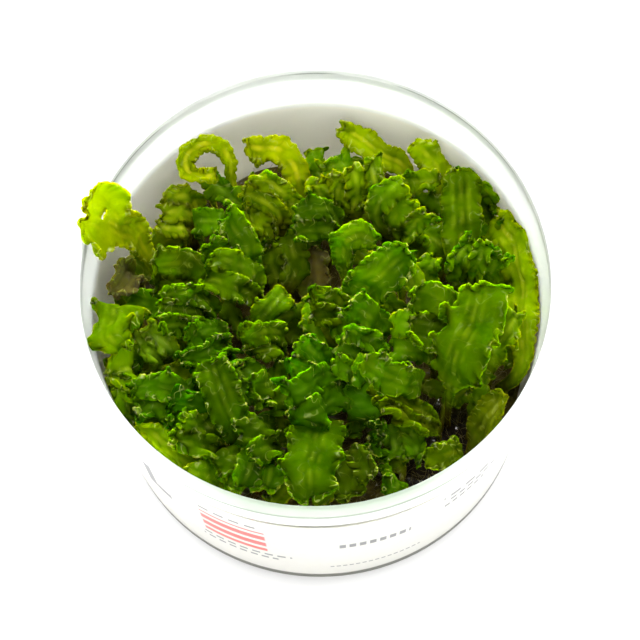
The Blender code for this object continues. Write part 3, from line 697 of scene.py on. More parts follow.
def arm_sheet(one, coarse, arm, step, columns):
    """One arm as a smooth sheet at a fine grain: its points, its rows' shares, and its flat coordinates.

    The flat coordinates are the distances in mm along the arm, across it from its middle, from its middle
    to its margin, and from its tip.
    """
    length = np.linalg.norm(np.diff(coarse[:, CELLS_ACROSS // 2], axis=0), axis=1).sum()
    rows = int(length * (arm.end - arm.start) / step)
    share = arm.start + (arm.end - arm.start) * np.linspace(0, 1, rows) ** 0.85
    # Columns stand closer together towards the margins, where the frills are
    t = np.linspace(-1, 1, columns)
    t = 0.35 * t + 0.65 * np.sin(t * math.pi / 2)
    forked = opened(share)
    breadth = 1 + (arm.breadth - 1) * (0.4 + 0.6 * forked)
    head, narrow = one.head
    breadth = breadth * (narrow + (1 - narrow) * eased((share - head) / 0.14))
    u = (arm.centre * forked)[:, None] + breadth[:, None] * t
    down = np.tensordot(curve_reader(len(coarse), share * (len(coarse) - 1)), coarse, 1)
    over = curve_reader(CELLS_ACROSS + 1, (u.ravel() + 1) * CELLS_ACROSS / 2).reshape(rows, columns, -1)
    base = np.einsum("rcj,rjk->rck", over, down)
    middle = base[:, columns // 2]
    s = np.concatenate([[0], np.cumsum(np.linalg.norm(np.diff(middle, axis=0), axis=1))])
    from_tip = (s[-1] - s)[:, None]
    # The tip is rounded by drawing its rows in to the middle
    tip = np.clip(0.75 * np.linalg.norm(base[:, -1:] - base[:, :1], axis=2) / 2, 1.6, 4.5)
    round_tip = np.sqrt(1 - 0.92 * np.clip(1 - from_tip / tip, 0, 1) ** 2)
    base = middle[:, None] + (base - middle[:, None]) * round_tip[..., None]
    steps = np.linalg.norm(np.diff(base, axis=1), axis=2)
    x = np.concatenate([np.zeros((rows, 1)), np.cumsum(steps, axis=1)], 1)
    half = x[:, -1:] / 2
    return base, share[:, None], (np.repeat(s[:, None], columns, 1), x - half, half, from_tip)


def frilled(height, lively, flat, rng):
    """The frills and teeth of the margins: the height with them, and the shifts along and across."""
    s, x, half, from_tip = flat
    slide = np.zeros_like(x)
    spread = np.zeros_like(x)
    from_side = half - np.abs(x)
    for side in (-1, 1):
        here = np.clip(0.5 + side * x / 1.2, 0, 1)
        at = s - 0.4 * from_side
        for wave, size, reach in CRIMPS:
            crimp = Crimp(rng, wave)
            rise = here * lively * size * crimp.strength(at) * eased(1 - from_side / reach)
            height += rise * np.sin(crimp.angle(at))
            slide -= 0.35 * rise * np.sin(2 * crimp.angle(at))
        spread += side * here * 0.3 * eased(1 - from_side / TOOTH_REACH) * Crimp(rng, TOOTH).tooth(at)
    for wave, size, reach in CRIMPS:
        height += lively * size * eased(1 - from_tip / reach) * np.sin(Crimp(rng, wave).angle(x))
    slide += 0.4 * eased(1 - from_tip / TOOTH_REACH) * Crimp(rng, TOOTH).tooth(x)
    # A nick where the midrib meets the tip
    slide -= 0.9 * np.exp(-((x / 0.7) ** 2)) * eased(1 - from_tip / 1.6)
    return height, slide, spread


def fine_ribbon(one, coarse, arm, seed, step=FINE_STEP, columns=FINE_COLUMNS):
    """One arm at a fine grain, with what its skin shows at each point."""
    rng = np.random.default_rng(seed)
    ripples = Ripples(rng)
    base, share, flat = arm_sheet(one, coarse, arm, step, columns)
    s, x, half, from_tip = flat
    off = np.abs(x)
    height = 0.32 * ripples.field(s, x, 8.0)
    height += 0.06 * ripples.field(s, x, 2.8)
    height += 0.02 * ripples.field(s, x, 1.3)
    bow = BOW * (1.0 if rng.uniform() < 0.6 else -0.6)
    section = -bow * half * (off / half) ** 2.5 - 0.55 * np.exp(-((x / 1.1) ** 2)) * eased(half / 3.5)
    height, slide, spread = frilled(height, one.ruffle, flat, rng)
    rib = np.exp(-((x / RIB_WIDTH) ** 2)) * eased(from_tip / 4.0)
    groove = np.exp(-((off - GROOVE_PLACE) ** 2) / 0.25) * eased(from_tip / 4.0)
    folds = np.exp(-((off - FOLD_PLACE) ** 2) / 0.12) * eased(half / 3.0 - 0.4) * eased(from_tip / 5.0)
    relief = height + section + 0.22 * rib - 0.12 * groove + 0.12 * folds
    relief += (arm.lift + arm.tilt * x) * opened(share) - arm.curl * eased(1 - from_tip / 6.0)
    grown = eased((share - 0.15) / 0.4)
    d_along = unit(np.gradient(base, axis=0))
    d_across = unit(np.gradient(base, axis=1))
    points = base + unit(np.cross(d_across, d_along)) * (relief * grown)[..., None]
    points += d_along * (slide * grown)[..., None]
    points += d_across * (spread * grown)[..., None]
    far, aside, radius = one.hole
    from_edge = np.minimum(half - off, from_tip)
    skin = {
        "hole": np.hypot(from_tip - far, x - aside) < radius,
        "rib": (rib + 0.6 * folds) * np.clip(0.6 + 0.5 * ripples.field(s, x, 4.0), 0, 1),
        "edge": eased(1 - from_edge / EDGE_WIDTH),
        "margin": eased(1 - from_edge / MARGIN_WIDTH),
        # How high the skin stands here, which paints its crests paler as painted highlight
        "crest": np.clip(0.5 + 0.7 * height, 0, 1) * grown,
        "stalk": 1 - eased((share - 0.05) / 0.45) * np.ones_like(x),
    }
    return points, skin


def pressed_in(points):
    """The fine tissue's points, none of them through the wall of the cup below its lip."""
    reach = np.hypot(points[..., 0], points[..., 1])
    above = np.maximum(points[..., 2] - RIM_HEIGHT + OPEN_LIP, 0.0)
    limit = inner_radius(points[..., 2]) - 0.6 * TISSUE + 4.0 * above
    inside = np.minimum(limit / np.maximum(reach, 1e-6), 1.0)
    return points * np.stack([inside, inside, np.ones_like(inside)], -1)


def lay_sheet(bm, one, points, skin):
    """Adds a grid of faces moved to the points, with the skin's values and a wall thin at the margins."""
    points = pressed_in(points)
    red, green = one.tint
    rows, columns = points.shape[:2]
    layers = [bm.verts.layers.float.get(name) or bm.verts.layers.float.new(name) for name in SKIN]
    thick = bm.verts.layers.deform.verify()
    tints = bm.verts.layers.float_vector.get("tint") or bm.verts.layers.float_vector.new("tint")
    wall = 1.0 - 0.2 * skin["edge"]
    grid = bmesh.ops.create_grid(bm, x_segments=columns - 1, y_segments=rows - 1, size=0.5)
    worn = []
    for vert in grid["verts"]:
        at = round((vert.co.y + 0.5) * (rows - 1)), round((vert.co.x + 0.5) * (columns - 1))
        if skin["hole"][at]:
            worn.append(vert)
        vert.co = points[at] * MM
        vert[thick][0] = float(wall[at])
        vert[tints] = (red, green, green)
        for name, layer in zip(SKIN, layers):
            vert[layer] = float(skin[name][at])
    bmesh.ops.delete(bm, geom=worn, context="VERTS")


def wall_of_tissue(obj, thickness):
    """Gives a sheet its thickness, as its vertex group says."""
    obj.vertex_groups.new(name="wall")
    solid = obj.modifiers.new("Thickness", "SOLIDIFY")
    solid.thickness = thickness * MM
    solid.offset = 0.0
    solid.vertex_group = "wall"


def grow_thallus(one, arms, material):
    """One thallus as sheets of tissue, an arm each."""
    bm = bmesh.new()
    for points, skin in arms:
        lay_sheet(bm, one, points, skin)
    obj = link_mesh("thallus_fine_" + one.name, bm)
    wall_of_tissue(obj, TISSUE)
    finish_piece(obj, material, "thallus_" + one.tone, "thallus_" + one.name)


def seen_at(points):
    """Where points in mm show on the plane at the sight level, as the camera looks down."""
    above = (SIGHT_LEVEL - points[..., 2]) * SIGHT_SLOPE
    return points[..., :2] - np.stack([np.zeros_like(above), above], -1)


class Canopy:
    """What the thalli leave open: the squares that the mat would show through, and the cubes of free room."""

    def __init__(self, grown):
        self.top = np.zeros((2 * CANOPY_CELLS, 2 * CANOPY_CELLS))
        self.taken = np.zeros((2 * VOXELS, 2 * VOXELS, VOXELS), bool)
        squares = np.mgrid[-CANOPY_CELLS:CANOPY_CELLS, -CANOPY_CELLS:CANOPY_CELLS]
        x, y = (squares + 0.5) / CANOPY_FINENESS
        self.wanted = np.hypot(x, y + (SIGHT_LEVEL - MAT_LEVEL) * SIGHT_SLOPE) < YOUNG_REACH
        self.wanted &= np.hypot(x, y + (SIGHT_LEVEL - RIM_HEIGHT) * SIGHT_SLOPE) < YOUNG_REACH + 3.0
        for middle_x, middle_y, wide, high in FULL_PLACES:
            self.wanted |= np.hypot((x - middle_x) / wide, (y - middle_y) / high) < 1
        for middle_x, middle_y, wide, high in OPEN_PLACES:
            self.wanted &= np.hypot((x - middle_x) / wide, (y - middle_y) / high) > 1
        for points in grown:
            self.occupy(points)

    def cubes(self, points):
        """The cubes that hold the points."""
        places = (points.reshape(-1, 3) / VOXEL).astype(int) + (VOXELS, VOXELS, 0)
        return places[places[:, 2] < VOXELS - 1]

    def occupy(self, points):
        """Counts a sheet of points in."""
        cell = (seen_at(points) * CANOPY_FINENESS + CANOPY_CELLS).astype(int)
        for dx in (0, 1):
            for dy in (0, 1):
                np.maximum.at(self.top, (cell[..., 0] + dx, cell[..., 1] + dy), points[..., 2])
        for step in ((0, 0, 0), (1, 0, 0), (-1, 0, 0), (0, 1, 0), (0, -1, 0), (0, 0, 1), (0, 0, -1)):
            self.taken[tuple((self.cubes(points) + step).T)] = True

    def open_cells(self):
        """The squares where the mat would show and shouldn't."""
        return np.argwhere(self.wanted & (self.top < MAT_LEVEL + 6))

    def level(self, column, row):
        """How high the canopy stands round a square, in mm."""
        columns = slice(column - LEVEL_SQUARES, column + LEVEL_SQUARES + 1)
        around = self.top[columns, row - LEVEL_SQUARES : row + LEVEL_SQUARES + 1]
        high = around[around > LEVEL_FROM]
        return np.median(high) if len(high) > LEVEL_COUNT else USUAL_LEVEL

    def has_room(self, coarse):
        """Whether a coarse ribbon's blade passes through no taken cube."""
        blade = np.tensordot(halved(len(coarse) - 2), halved(CELLS_ACROSS + 1) @ coarse[2:], 1)
        return not self.taken[tuple(self.cubes(blade).T)].any()


def young_thallus(spot, top, draw):
    """A small thallus over a place as seen, with its top at a height in mm."""
    lean = math.tau * draw[2]
    way = np.array([math.cos(lean), math.sin(lean)])
    run = 3.5 + 4.5 * draw[3]
    foot = spot * 0.95 - way * (2.0 + 2.0 * draw[4])
    foot[1] += (SIGHT_LEVEL - top) * SIGHT_SLOPE * 0.6
    foot *= min(1.0, YOUNG_FOOT_REACH / math.hypot(*foot))
    curl = 1.5 * draw[6]
    return thallus(
        "young",
        YOUNG_TONES[int(len(YOUNG_TONES) * draw[5])],
        2.3 + 1.8 * draw[7],
        tuple(foot),
        (*(spot - way * run * 0.7), top - 4.5),
        (*(spot - way * run * 0.2), top - 0.8),
        (*(spot + way * run * 0.6), top + 0.6 - curl),
        (*(spot + way * run), top - 1.0 - 2.0 * curl),
        cup=0.05,
        ruffle=0.6 + 0.5 * draw[8],
        # Young thalli are tinted brighter, partly as painted light for the shade they stand in
        tint=(1.8 + 0.9 * draw[9], 1.7 + 0.5 * draw[10]),
    )


def young_thalli(grown, ground, seed):
    """Small thalli in the gaps that the camera would see the mat through, as (thallus, points, skin)."""
    rng = np.random.default_rng(seed)
    canopy = Canopy(grown)
    made = []
    for turn in range(YOUNG_TRIES):
        open_cells = canopy.open_cells() if turn % 10 == 0 else open_cells
        if len(open_cells) == 0 or len(made) == YOUNG_COUNT:
            break
        draw = rng.uniform(size=12)
        column, row = open_cells[int(draw[0] * len(open_cells))]
        spot = (np.array([column, row]) + 0.5 - CANOPY_CELLS) / CANOPY_FINENESS
        sunk = canopy.level(column, row) - 5.0 * draw[1] - YOUNG_SINK * (turn / YOUNG_TRIES)
        top = max(sunk, MAT_LEVEL + 7.0)
        one = young_thallus(spot, top, draw)
        coarse = held_in(ribbon_grid(one, ground))
        if canopy.has_room(coarse):
            low = top < LOWER_STOREY
            grain = YOUNG_STEP[low], YOUNG_COLUMNS[low]
            points, skin = fine_ribbon(one, coarse, WHOLE_RIBBON, seed + 31 * len(made), *grain)
            canopy.occupy(points)
            made.append((one, points, skin))
    return made


# Thallus: living liverwort tissue, a few cells thick and wet. Light passes into it and out of the far
# side, and a film of water gives it small sharp glints. A tone has the colour of its depths, of its
# fresh tissue, a paler colour painted on its crests as painted highlight, and the colour of its midrib.
TONES = {
    "bright": ("#2f4700", "#4e6c00", "#708900", "#7f8d14"),
    "light": ("#183400", "#294c00", "#466900", "#537010"),
    "mid": ("#132b00", "#244200", "#3e6000", "#4c6a0e"),
    "dark": ("#0f2400", "#1d3c00", "#385c02", "#486812"),
    "olive": ("#1d2400", "#2e3600", "#4b5306", "#555a12"),
    "brown": ("#23140b", "#3e280d", "#584620", "#4c3c1a"),
}
STALK_COLOUR = "#5c7404"
# Pale colour of the glint lines, a painted highlight
PAINTED_GLINT_COLOUR = "#a0b04c"
OLD_FOOT_AND_SHADE_COLOUR = "#33260a"
# Height in mm under which the tissue turns brown and dark, as old tissue together with painted shade of the
# depths, and how far down it is brown altogether
OLD_AND_SHADED_BELOW = 41.0
OLD_AND_SHADED_DEPTH = 9.0


def wet_thallus(tone):
    """Wet liverwort tissue in one tone."""
    deep, fresh, crest, rib = (linear(code) for code in TONES[tone])
    made, tree = blank_material("wet liverwort tissue, " + tone)
    place = add(tree, "TexCoord", out="Object")
    patches = add(tree, "TexNoise", {"Vector": place, "Scale": 130.0, "Detail": 4.0})
    colour = layered(tree, deep, (add(tree, "MapRange", (patches, 0.38, 0.62)), fresh))
    read = {name: add(tree, "Attribute", out="Fac", attribute_name=name) for name in SKIN}
    colour = layered(
        tree,
        colour,
        (product(tree, read["stalk"], 0.8), linear(STALK_COLOUR)),
        (product(tree, read["margin"], 0.5), deep),
        (product(tree, read["edge"], 0.85), deep),
        # Crests painted paler and hollows darker, by height: painted light and shade
        (product(tree, read["crest"], 0.3), crest),
        (product(tree, read["rib"], 0.5), rib),
    )
    # Each thallus's own tint, partly painted light: thalli in shade brightened, some in the open dimmed
    tint = add(tree, "Attribute", out="Vector", attribute_name="tint")
    colour = add(tree, "VectorMath", (colour, tint), operation="MULTIPLY")
    # The feet are old and brown, down among the rhizoids, and the same darkening low down is painted shade of
    # the depths among the plants
    height = add(tree, "SeparateXYZ", (place,), "Z")
    foot = add(tree, "MapRange", (height, OLD_AND_SHADED_BELOW * MM, (OLD_AND_SHADED_BELOW - OLD_AND_SHADED_DEPTH) * MM))
    lowest = add(tree, "Math", (read["stalk"], 0.6, 0.25), operation="MULTIPLY_ADD")
    # Glints lie in fine lines on the crests and the margins, where the film of water is drawn tight. The
    # lines are painted pale into the colour as painted highlight, and they also set the coat that gives real
    # glints.
    glint_noise = add(tree, "TexNoise", {"Vector": place, "Scale": 360.0, "Detail": 1.0})
    off = add(tree, "Math", (glint_noise, 0.5), operation="SUBTRACT")
    line = add(tree, "MapRange", (add(tree, "Math", (off,), operation="ABSOLUTE"), 0.035, 0.0))
    raised = read["margin"]
    for name, strength in (("crest", 0.12), ("rib", 0.7)):
        raised = add(tree, "Math", (read[name], strength, raised), operation="MULTIPLY_ADD", use_clamp=True)
    broken = add(tree, "TexNoise", {"Vector": place, "Scale": 330.0, "Detail": 1.0})
    line = product(tree, line, raised, add(tree, "MapRange", (broken, 0.45, 0.56)))
    colour = layered(
        tree,
        colour,
        (product(tree, foot, lowest), linear(OLD_FOOT_AND_SHADE_COLOUR)),
        # Painted highlight: pale glint lines laid over the colour
        (product(tree, line, 0.3), linear(PAINTED_GLINT_COLOUR)),
    )
    grain = add(tree, "TexNoise", {"Vector": place, "Scale": 900.0, "Detail": 3.0})
    bump = add(tree, "Bump", {"Height": grain, "Strength": 0.4, "Distance": 0.0005})
    looks = {
        "Base Color": colour,
        "Normal": bump,
        "Roughness": 0.28,
        "IOR": 1.35,
        "Specular IOR Level": 0.0,
        "Subsurface Weight": 0.95,
        "Subsurface Scale": 0.01,
        "Subsurface Radius": (0.75, 1.0, 0.1),
        "Coat Weight": product(tree, line, 0.5),
        "Coat Roughness": 0.1,
        "Coat Normal": bump,
    }
    add(tree, "OutputMaterial", {"Surface": add(tree, "BsdfPrincipled", looks)})
    return made


def milky_plastic():
    """Natural polypropylene, injection moulded: milky, so that what stands behind it is a soft tint."""
    made, tree = blank_material("natural polypropylene, moulded")
    place = add(tree, "TexCoord", out="Object")
    height = add(tree, "SeparateXYZ", (place,), "Z")
    backed = add(tree, "MapRange", (height, LABEL_TOP * MM + 0.0004, LABEL_TOP * MM - 0.0004))
    # The lip in front is painted a soft grey green: painted shade for the shaded wall behind it
    depth = add(tree, "SeparateXYZ", (place,), "Y")
    front = add(tree, "MapRange", (depth, -0.025, -0.046))
    lip = add(tree, "MapRange", (height, (RIM_HEIGHT - 1.2) * MM, (RIM_HEIGHT - 0.4) * MM))
    corner = add(tree, "MapRange", (height, LABEL_BOTTOM * MM, LABEL_BOTTOM * MM - 0.0006))
    colour = layered(
        tree,
        # A greyer white above the label: painted shade on the rim top, which faces the lights
        linear("#eef2ed"),
        (backed, linear("#fdfbec")),
        (product(tree, front, lip), linear("#7f8f7a")),
        # Painted shade: the corner below the label is painted dark grey
        (corner, linear("#85887a")),
    )
    ripple = add(tree, "TexNoise", {"Vector": place, "Scale": 90.0, "Detail": 1.0})
    looks = {
        "Base Color": colour,
        "Normal": add(tree, "Bump", {"Height": ripple, "Strength": 0.15, "Distance": 0.0004}),
        "Roughness": 0.28,
        "IOR": 1.49,
        "Transmission Weight": 0.55,
        "Subsurface Weight": 0.8,
        "Subsurface Scale": 0.004,
        "Subsurface Radius": (1.0, 1.0, 0.95),
        "Coat Weight": 0.3,
        "Coat Roughness": 0.06,
    }
    add(tree, "OutputMaterial", {"Surface": add(tree, "BsdfPrincipled", looks)})
    return made


def plastic_with_painted_shade(place_name, shaded, lit):
    """The same plastic painted grey where it is seen on edge along its length: painted shade for the light
    lost in it.
    """
    made, tree = blank_material("natural polypropylene, seen on edge at the " + place_name)
    place = add(tree, "TexCoord", out="Object")
    cloud = add(tree, "TexNoise", {"Vector": place, "Scale": 40.0, "Detail": 1.0})
    colour = layered(tree, linear(shaded), (add(tree, "MapRange", (cloud, 0.44, 0.56)), linear(lit)))
    looks = {"Base Color": colour, "Roughness": 0.3, "IOR": 1.49}
    add(tree, "OutputMaterial", {"Surface": add(tree, "BsdfPrincipled", looks)})
    return made


# Radius in mm at which the print is measured round the wall
PRINT_RADIUS = 45.0
# Panel of the print: left and right edge, bottom and top in mm
PRINT_PANEL = (-27.0, -13.0, 22.0, 38.0)
# Rows of the print: bottom, top, left and right edge in mm, and how closely it is cut into dashes
PRINT_ROWS = (
    (40.4, 41.6, -27, -14, 1.9), (18.6, 19.8, -28, -8, 2.3), (15.8, 17.0, -28, -11, 2.6),
    (28.8, 31.6, 2, 17, 3.0), (39.6, 41.4, 24, 36, 1.7), (36.2, 37.8, 25, 38, 2.9),
    (32.8, 34.4, 24, 35, 3.3), (12.0, 12.7, 0, 20, 4.5), (27.0, 43.0, -41.5, -39.0, 0.0),
    (27.0, 30.0, -39.0, -35.0, 0.0),
)


def printed_film():
    """White label film with a satin print: a pale red striped panel, rows of grey dashes and a plain bar."""
    made, tree = blank_material("white label film, printed")
    place = add(tree, "TexCoord", out="Object")
    x, y, z = (add(tree, "SeparateXYZ", (place,), axis) for axis in "XYZ")
    angle = add(tree, "Math", (x, product(tree, y, -1.0)), operation="ARCTAN2")
    along = product(tree, angle, PRINT_RADIUS)
    height = product(tree, z, 1 / MM)
    paper = add(tree, "TexNoise", {"Vector": place, "Scale": 700.0, "Detail": 2.0})
    # A dark band painted along its lower edge: painted shade at the foot of the cup
    clear = add(tree, "MapRange", (height, LABEL_BOTTOM + 3.1, LABEL_BOTTOM + 2.5))
    left, right, low, high = PRINT_PANEL
    panel = product(tree, banded(tree, along, left, right), banded(tree, height, low, high))
    stripes = add(tree, "Math", (product(tree, height, 1.18),), operation="SINE")
    stripes = add(tree, "Math", (stripes, -0.35), operation="GREATER_THAN")
    dashes = 0.0
    for low, high, left, right, rate in PRINT_ROWS:
        row = product(tree, banded(tree, along, left, right), banded(tree, height, low, high, 0.1))
        cuts = add(tree, "Math", (product(tree, along, rate),), operation="SINE")
        cuts = add(tree, "Math", (cuts, -0.45), operation="GREATER_THAN")
        dashes = add(tree, "Math", (dashes, product(tree, row, cuts)), operation="MAXIMUM")
    colour = layered(
        tree,
        linear("#ebeae2"),
        (paper, linear("#e5e4da")),
        (clear, linear("#5c5e50")),
        (product(tree, panel, stripes), linear("#e8554f")),
        (product(tree, dashes, 0.9), linear("#5d6064")),
    )
    looks = {
        "Base Color": colour,
        "Roughness": 0.42,
        "IOR": 1.45,
        "Transmission Weight": 0.5,
        "Subsurface Weight": 0.9,
        "Subsurface Scale": 0.0006,
        "Subsurface Radius": (1.0, 1.0, 0.9),
    }
    add(tree, "OutputMaterial", {"Surface": add(tree, "BsdfPrincipled", looks)})
    return made


def set_gel():
    """Nutrient gel, poured and set: clear, faintly brown and wet."""
    made, tree = blank_material("nutrient gel, set")
    place = add(tree, "TexCoord", out="Object")
    cloud = add(tree, "TexNoise", {"Vector": place, "Scale": 120.0, "Detail": 3.0})
    colour = layered(tree, linear("#b5ae86"), (cloud, linear("#978e62")))
    looks = {"Base Color": colour, "Roughness": 0.15, "IOR": 1.34, "Transmission Weight": 0.3}
    add(tree, "OutputMaterial", {"Surface": add(tree, "BsdfPrincipled", looks)})
    return made


# Middle of the open pit among the plants at the front, in metres
PIT_PLACE = (0.022, -0.023, 0.023)


def wet_felt():
    """The felt of rhizoids and dead tissue: near black-brown, fibrous, with a film of water."""
    made, tree = blank_material("rhizoid felt, wet")
    place = add(tree, "TexCoord", out="Object")
    clumps = add(tree, "TexNoise", {"Vector": place, "Scale": 300.0, "Detail": 5.0})
    # Darker towards the middle of the pit
    away = add(tree, "VectorMath", (place, PIT_PLACE), "Value", operation="DISTANCE")
    colour = layered(
        tree,
        linear("#342b0d"),
        (add(tree, "MapRange", (clumps, 0.35, 0.68)), linear("#575017")),
        (add(tree, "MapRange", (away, 0.015, 0.009)), linear("#1c140a")),
    )
    fibres = add(tree, "TexNoise", {"Vector": place, "Scale": 1200.0, "Detail": 4.0, "Distortion": 1.5})
    beads = add(tree, "TexNoise", {"Vector": place, "Scale": 520.0, "Detail": 2.0})
    looks = {
        "Base Color": colour,
        "Normal": add(tree, "Bump", {"Height": fibres, "Strength": 1.0, "Distance": 0.0006}),
        "Roughness": 0.6,
        "Specular IOR Level": 0.1,
        "Coat Weight": add(tree, "MapRange", (beads, 0.55, 0.62)),
        "Coat Roughness": 0.06,
    }
    add(tree, "OutputMaterial", {"Surface": add(tree, "BsdfPrincipled", looks)})
    return made


def fine_hair():
    """Rhizoids: fine brown hairs, wet and half clear."""
    made, tree = blank_material("rhizoids, wet")
    place = add(tree, "TexCoord", out="Object")
    tint = add(tree, "TexNoise", {"Vector": place, "Scale": 420.0})
    colour = layered(tree, linear("#40370f"), (add(tree, "MapRange", (tint, 0.4, 0.62)), linear("#7e7438")))
    looks = {"Base Color": colour, "Roughness": 0.3, "Specular IOR Level": 0.3}
    add(tree, "OutputMaterial", {"Surface": add(tree, "BsdfPrincipled", looks)})
    return made


def white_floor():
    """Matt white photographer's board."""
    made, tree = blank_material("white board, matt")
    looks = {"Base Color": linear("#f4f4f4"), "Roughness": 0.9}
    add(tree, "OutputMaterial", {"Surface": add(tree, "BsdfPrincipled", looks)})
    return made


class MONOSOLENIUM_PG_plants(bpy.types.PropertyGroup):
    """What a user would change about the plants."""

    seed: bpy.props.IntProperty(name="Seed", description="Draw of the frills", default=11, min=0)
    hairs: bpy.props.IntProperty(name="Rhizoids", description="How many stand on the mat", default=2600)
    hair_width: bpy.props.FloatProperty(
        name="Rhizoid width",
        description="Thickness of a rhizoid",
        default=0.00011,
        unit="LENGTH",
        precision=5,
    )


class MONOSOLENIUM_PG_stage(bpy.types.PropertyGroup):
    """What a user would change about the studio."""

    key: bpy.props.FloatProperty(name="Key light", description="Power of the softbox behind", default=13.2)
    sparkle: bpy.props.FloatProperty(name="Sparkle", description="Power of the small lights", default=0.3)
    sky: bpy.props.FloatProperty(name="Sky", description="Strength of the white surroundings", default=1.4)


class MONOSOLENIUM_OT_cup(bpy.types.Operator):
    """Moulds the round cup with its turned-over rim"""

    bl_idname = "monosolenium.cup"
    bl_label = "Mould the cup"

    def execute(self, context):
        skirt_inner = RIM_RADIUS - SKIRT_THICKNESS
        skirt_bottom = RIM_HEIGHT - SKIRT_DROP
        under_rim = RIM_HEIGHT - RIM_THICKNESS
        upper_wall = RIM_INNER_RADIUS + 0.8 * WALL_THICKNESS
        inner_base = float(inner_radius(BASE_THICKNESS + FLOOR_CORNER))
        profile = [
            (0, BASE_THICKNESS),
            (inner_base - FLOOR_CORNER, BASE_THICKNESS),
            (inner_base - 0.35 * FLOOR_CORNER, BASE_THICKNESS + 0.3 * FLOOR_CORNER),
            (inner_base, BASE_THICKNESS + FLOOR_CORNER),
            (float(inner_radius(SHOULDER_HEIGHT)), SHOULDER_HEIGHT),
            (RIM_INNER_RADIUS, SHOULDER_HEIGHT + SHOULDER_RISE),
            (RIM_INNER_RADIUS, STACKING_LINE - 0.5 * LINE_WIDTH),
            (RIM_INNER_RADIUS - 0.08, STACKING_LINE - 0.3 * LINE_WIDTH),
            (RIM_INNER_RADIUS - 0.08, STACKING_LINE + 0.3 * LINE_WIDTH),
            (RIM_INNER_RADIUS, STACKING_LINE + 0.5 * LINE_WIDTH),
            (RIM_INNER_RADIUS, RIM_HEIGHT - RIM_EDGE),
            (RIM_INNER_RADIUS + 0.3 * RIM_EDGE, RIM_HEIGHT - 0.2 * RIM_EDGE),
            (RIM_INNER_RADIUS + RIM_EDGE, RIM_HEIGHT),
            (RIM_RADIUS - RIM_EDGE, RIM_HEIGHT),
            (RIM_RADIUS - 0.28 * RIM_EDGE, RIM_HEIGHT - 0.1 * RIM_EDGE),
            (RIM_RADIUS - 0.2 * RIM_EDGE, RIM_HEIGHT - 0.2 * RIM_EDGE),
            (RIM_RADIUS, RIM_HEIGHT - RIM_EDGE),
            (RIM_RADIUS - 0.3, skirt_bottom + 0.15),
            (RIM_RADIUS - 0.45, skirt_bottom),
            (skirt_inner - 0.15, skirt_bottom),
            (skirt_inner - 0.3, skirt_bottom + 0.15),
            (skirt_inner - 0.1, under_rim),
            (upper_wall, under_rim),
            (upper_wall, SHOULDER_HEIGHT + SHOULDER_RISE - 0.8),
            (wall_radius(SHOULDER_HEIGHT), SHOULDER_HEIGHT),
            (BASE_RADIUS, BASE_CORNER),
            (BASE_RADIUS - 0.3 * BASE_CORNER, 0.3 * BASE_CORNER),
            (BASE_RADIUS - BASE_CORNER, 0),
            (0, 0),
        ]
        cup = finish_piece(spun("culture_cup", profile), milky_plastic(), "cup_plastic", "cup")
        # Two more materials of the same plastic, painted grey and dark as painted shade
        cup.data.materials.append(plastic_with_painted_shade("rim", "#a4a8a1", "#f8faf7"))
        cup.data.materials.append(plastic_with_painted_shade("base", "#4a4c40", "#5e6054"))
        # Faces painted as shade: a grey line at the rim's outer edge and one in the stacking groove, and the
        # dark corner at the base; for each the material's place, then radius and height, each from and to
        lip, line = RIM_RADIUS - 0.29 * RIM_EDGE, RIM_INNER_RADIUS - 0.1
        lines = (
            (1, lip, lip + 0.11 * RIM_EDGE, RIM_HEIGHT - RIM_EDGE, RIM_HEIGHT),
            (1, line, line + 0.2, STACKING_LINE - 0.1, STACKING_LINE + 0.1),
            # The base corner, painted dark: painted shade at the foot of the cup
            (2, BASE_RADIUS - BASE_CORNER, BASE_RADIUS, 0.0, BASE_CORNER),
        )
        for face in cup.data.polygons:
            middle = face.center / MM
            reach = math.hypot(middle.x, middle.y)
            for index, near, far, low, high in lines:
                if near < reach < far and low < middle.z < high:
                    face.material_index = index
        return {"FINISHED"}


class MONOSOLENIUM_OT_label(bpy.types.Operator):
    """Wraps the printed film round the wall"""

    bl_idname = "monosolenium.label"
    bl_label = "Wrap the label"

    def execute(self, context):
        inside = [(wall_radius(z) + GAP, z) for z in (LABEL_BOTTOM, LABEL_TOP)]
        outside = [(r + LABEL_THICKNESS, z) for r, z in reversed(inside)]
        profile = [*inside, *outside, inside[0]]
        finish_piece(spun("label_band", profile), printed_film(), "label_film", "label")
        return {"FINISHED"}


class MONOSOLENIUM_OT_gel(bpy.types.Operator):
    """Pours the disc of nutrient gel"""

    bl_idname = "monosolenium.gel"
    bl_label = "Pour the gel"

    def execute(self, context):
        floor = BASE_THICKNESS + GAP
        low = float(inner_radius(BASE_THICKNESS + FLOOR_CORNER)) - FLOOR_CORNER - GAP
        edge = float(inner_radius(GEL_TOP)) - GAP
        profile = [
            (0, GEL_TOP - 0.3),
            (edge - 2.0, GEL_TOP - 0.2),
            (edge, GEL_TOP),
            (low + FLOOR_CORNER, floor + FLOOR_CORNER),
            (low, floor),
            (0, floor),
        ]
        finish_piece(spun("gel_disc", profile), set_gel(), "gel", "nutrient_gel")
        return {"FINISHED"}


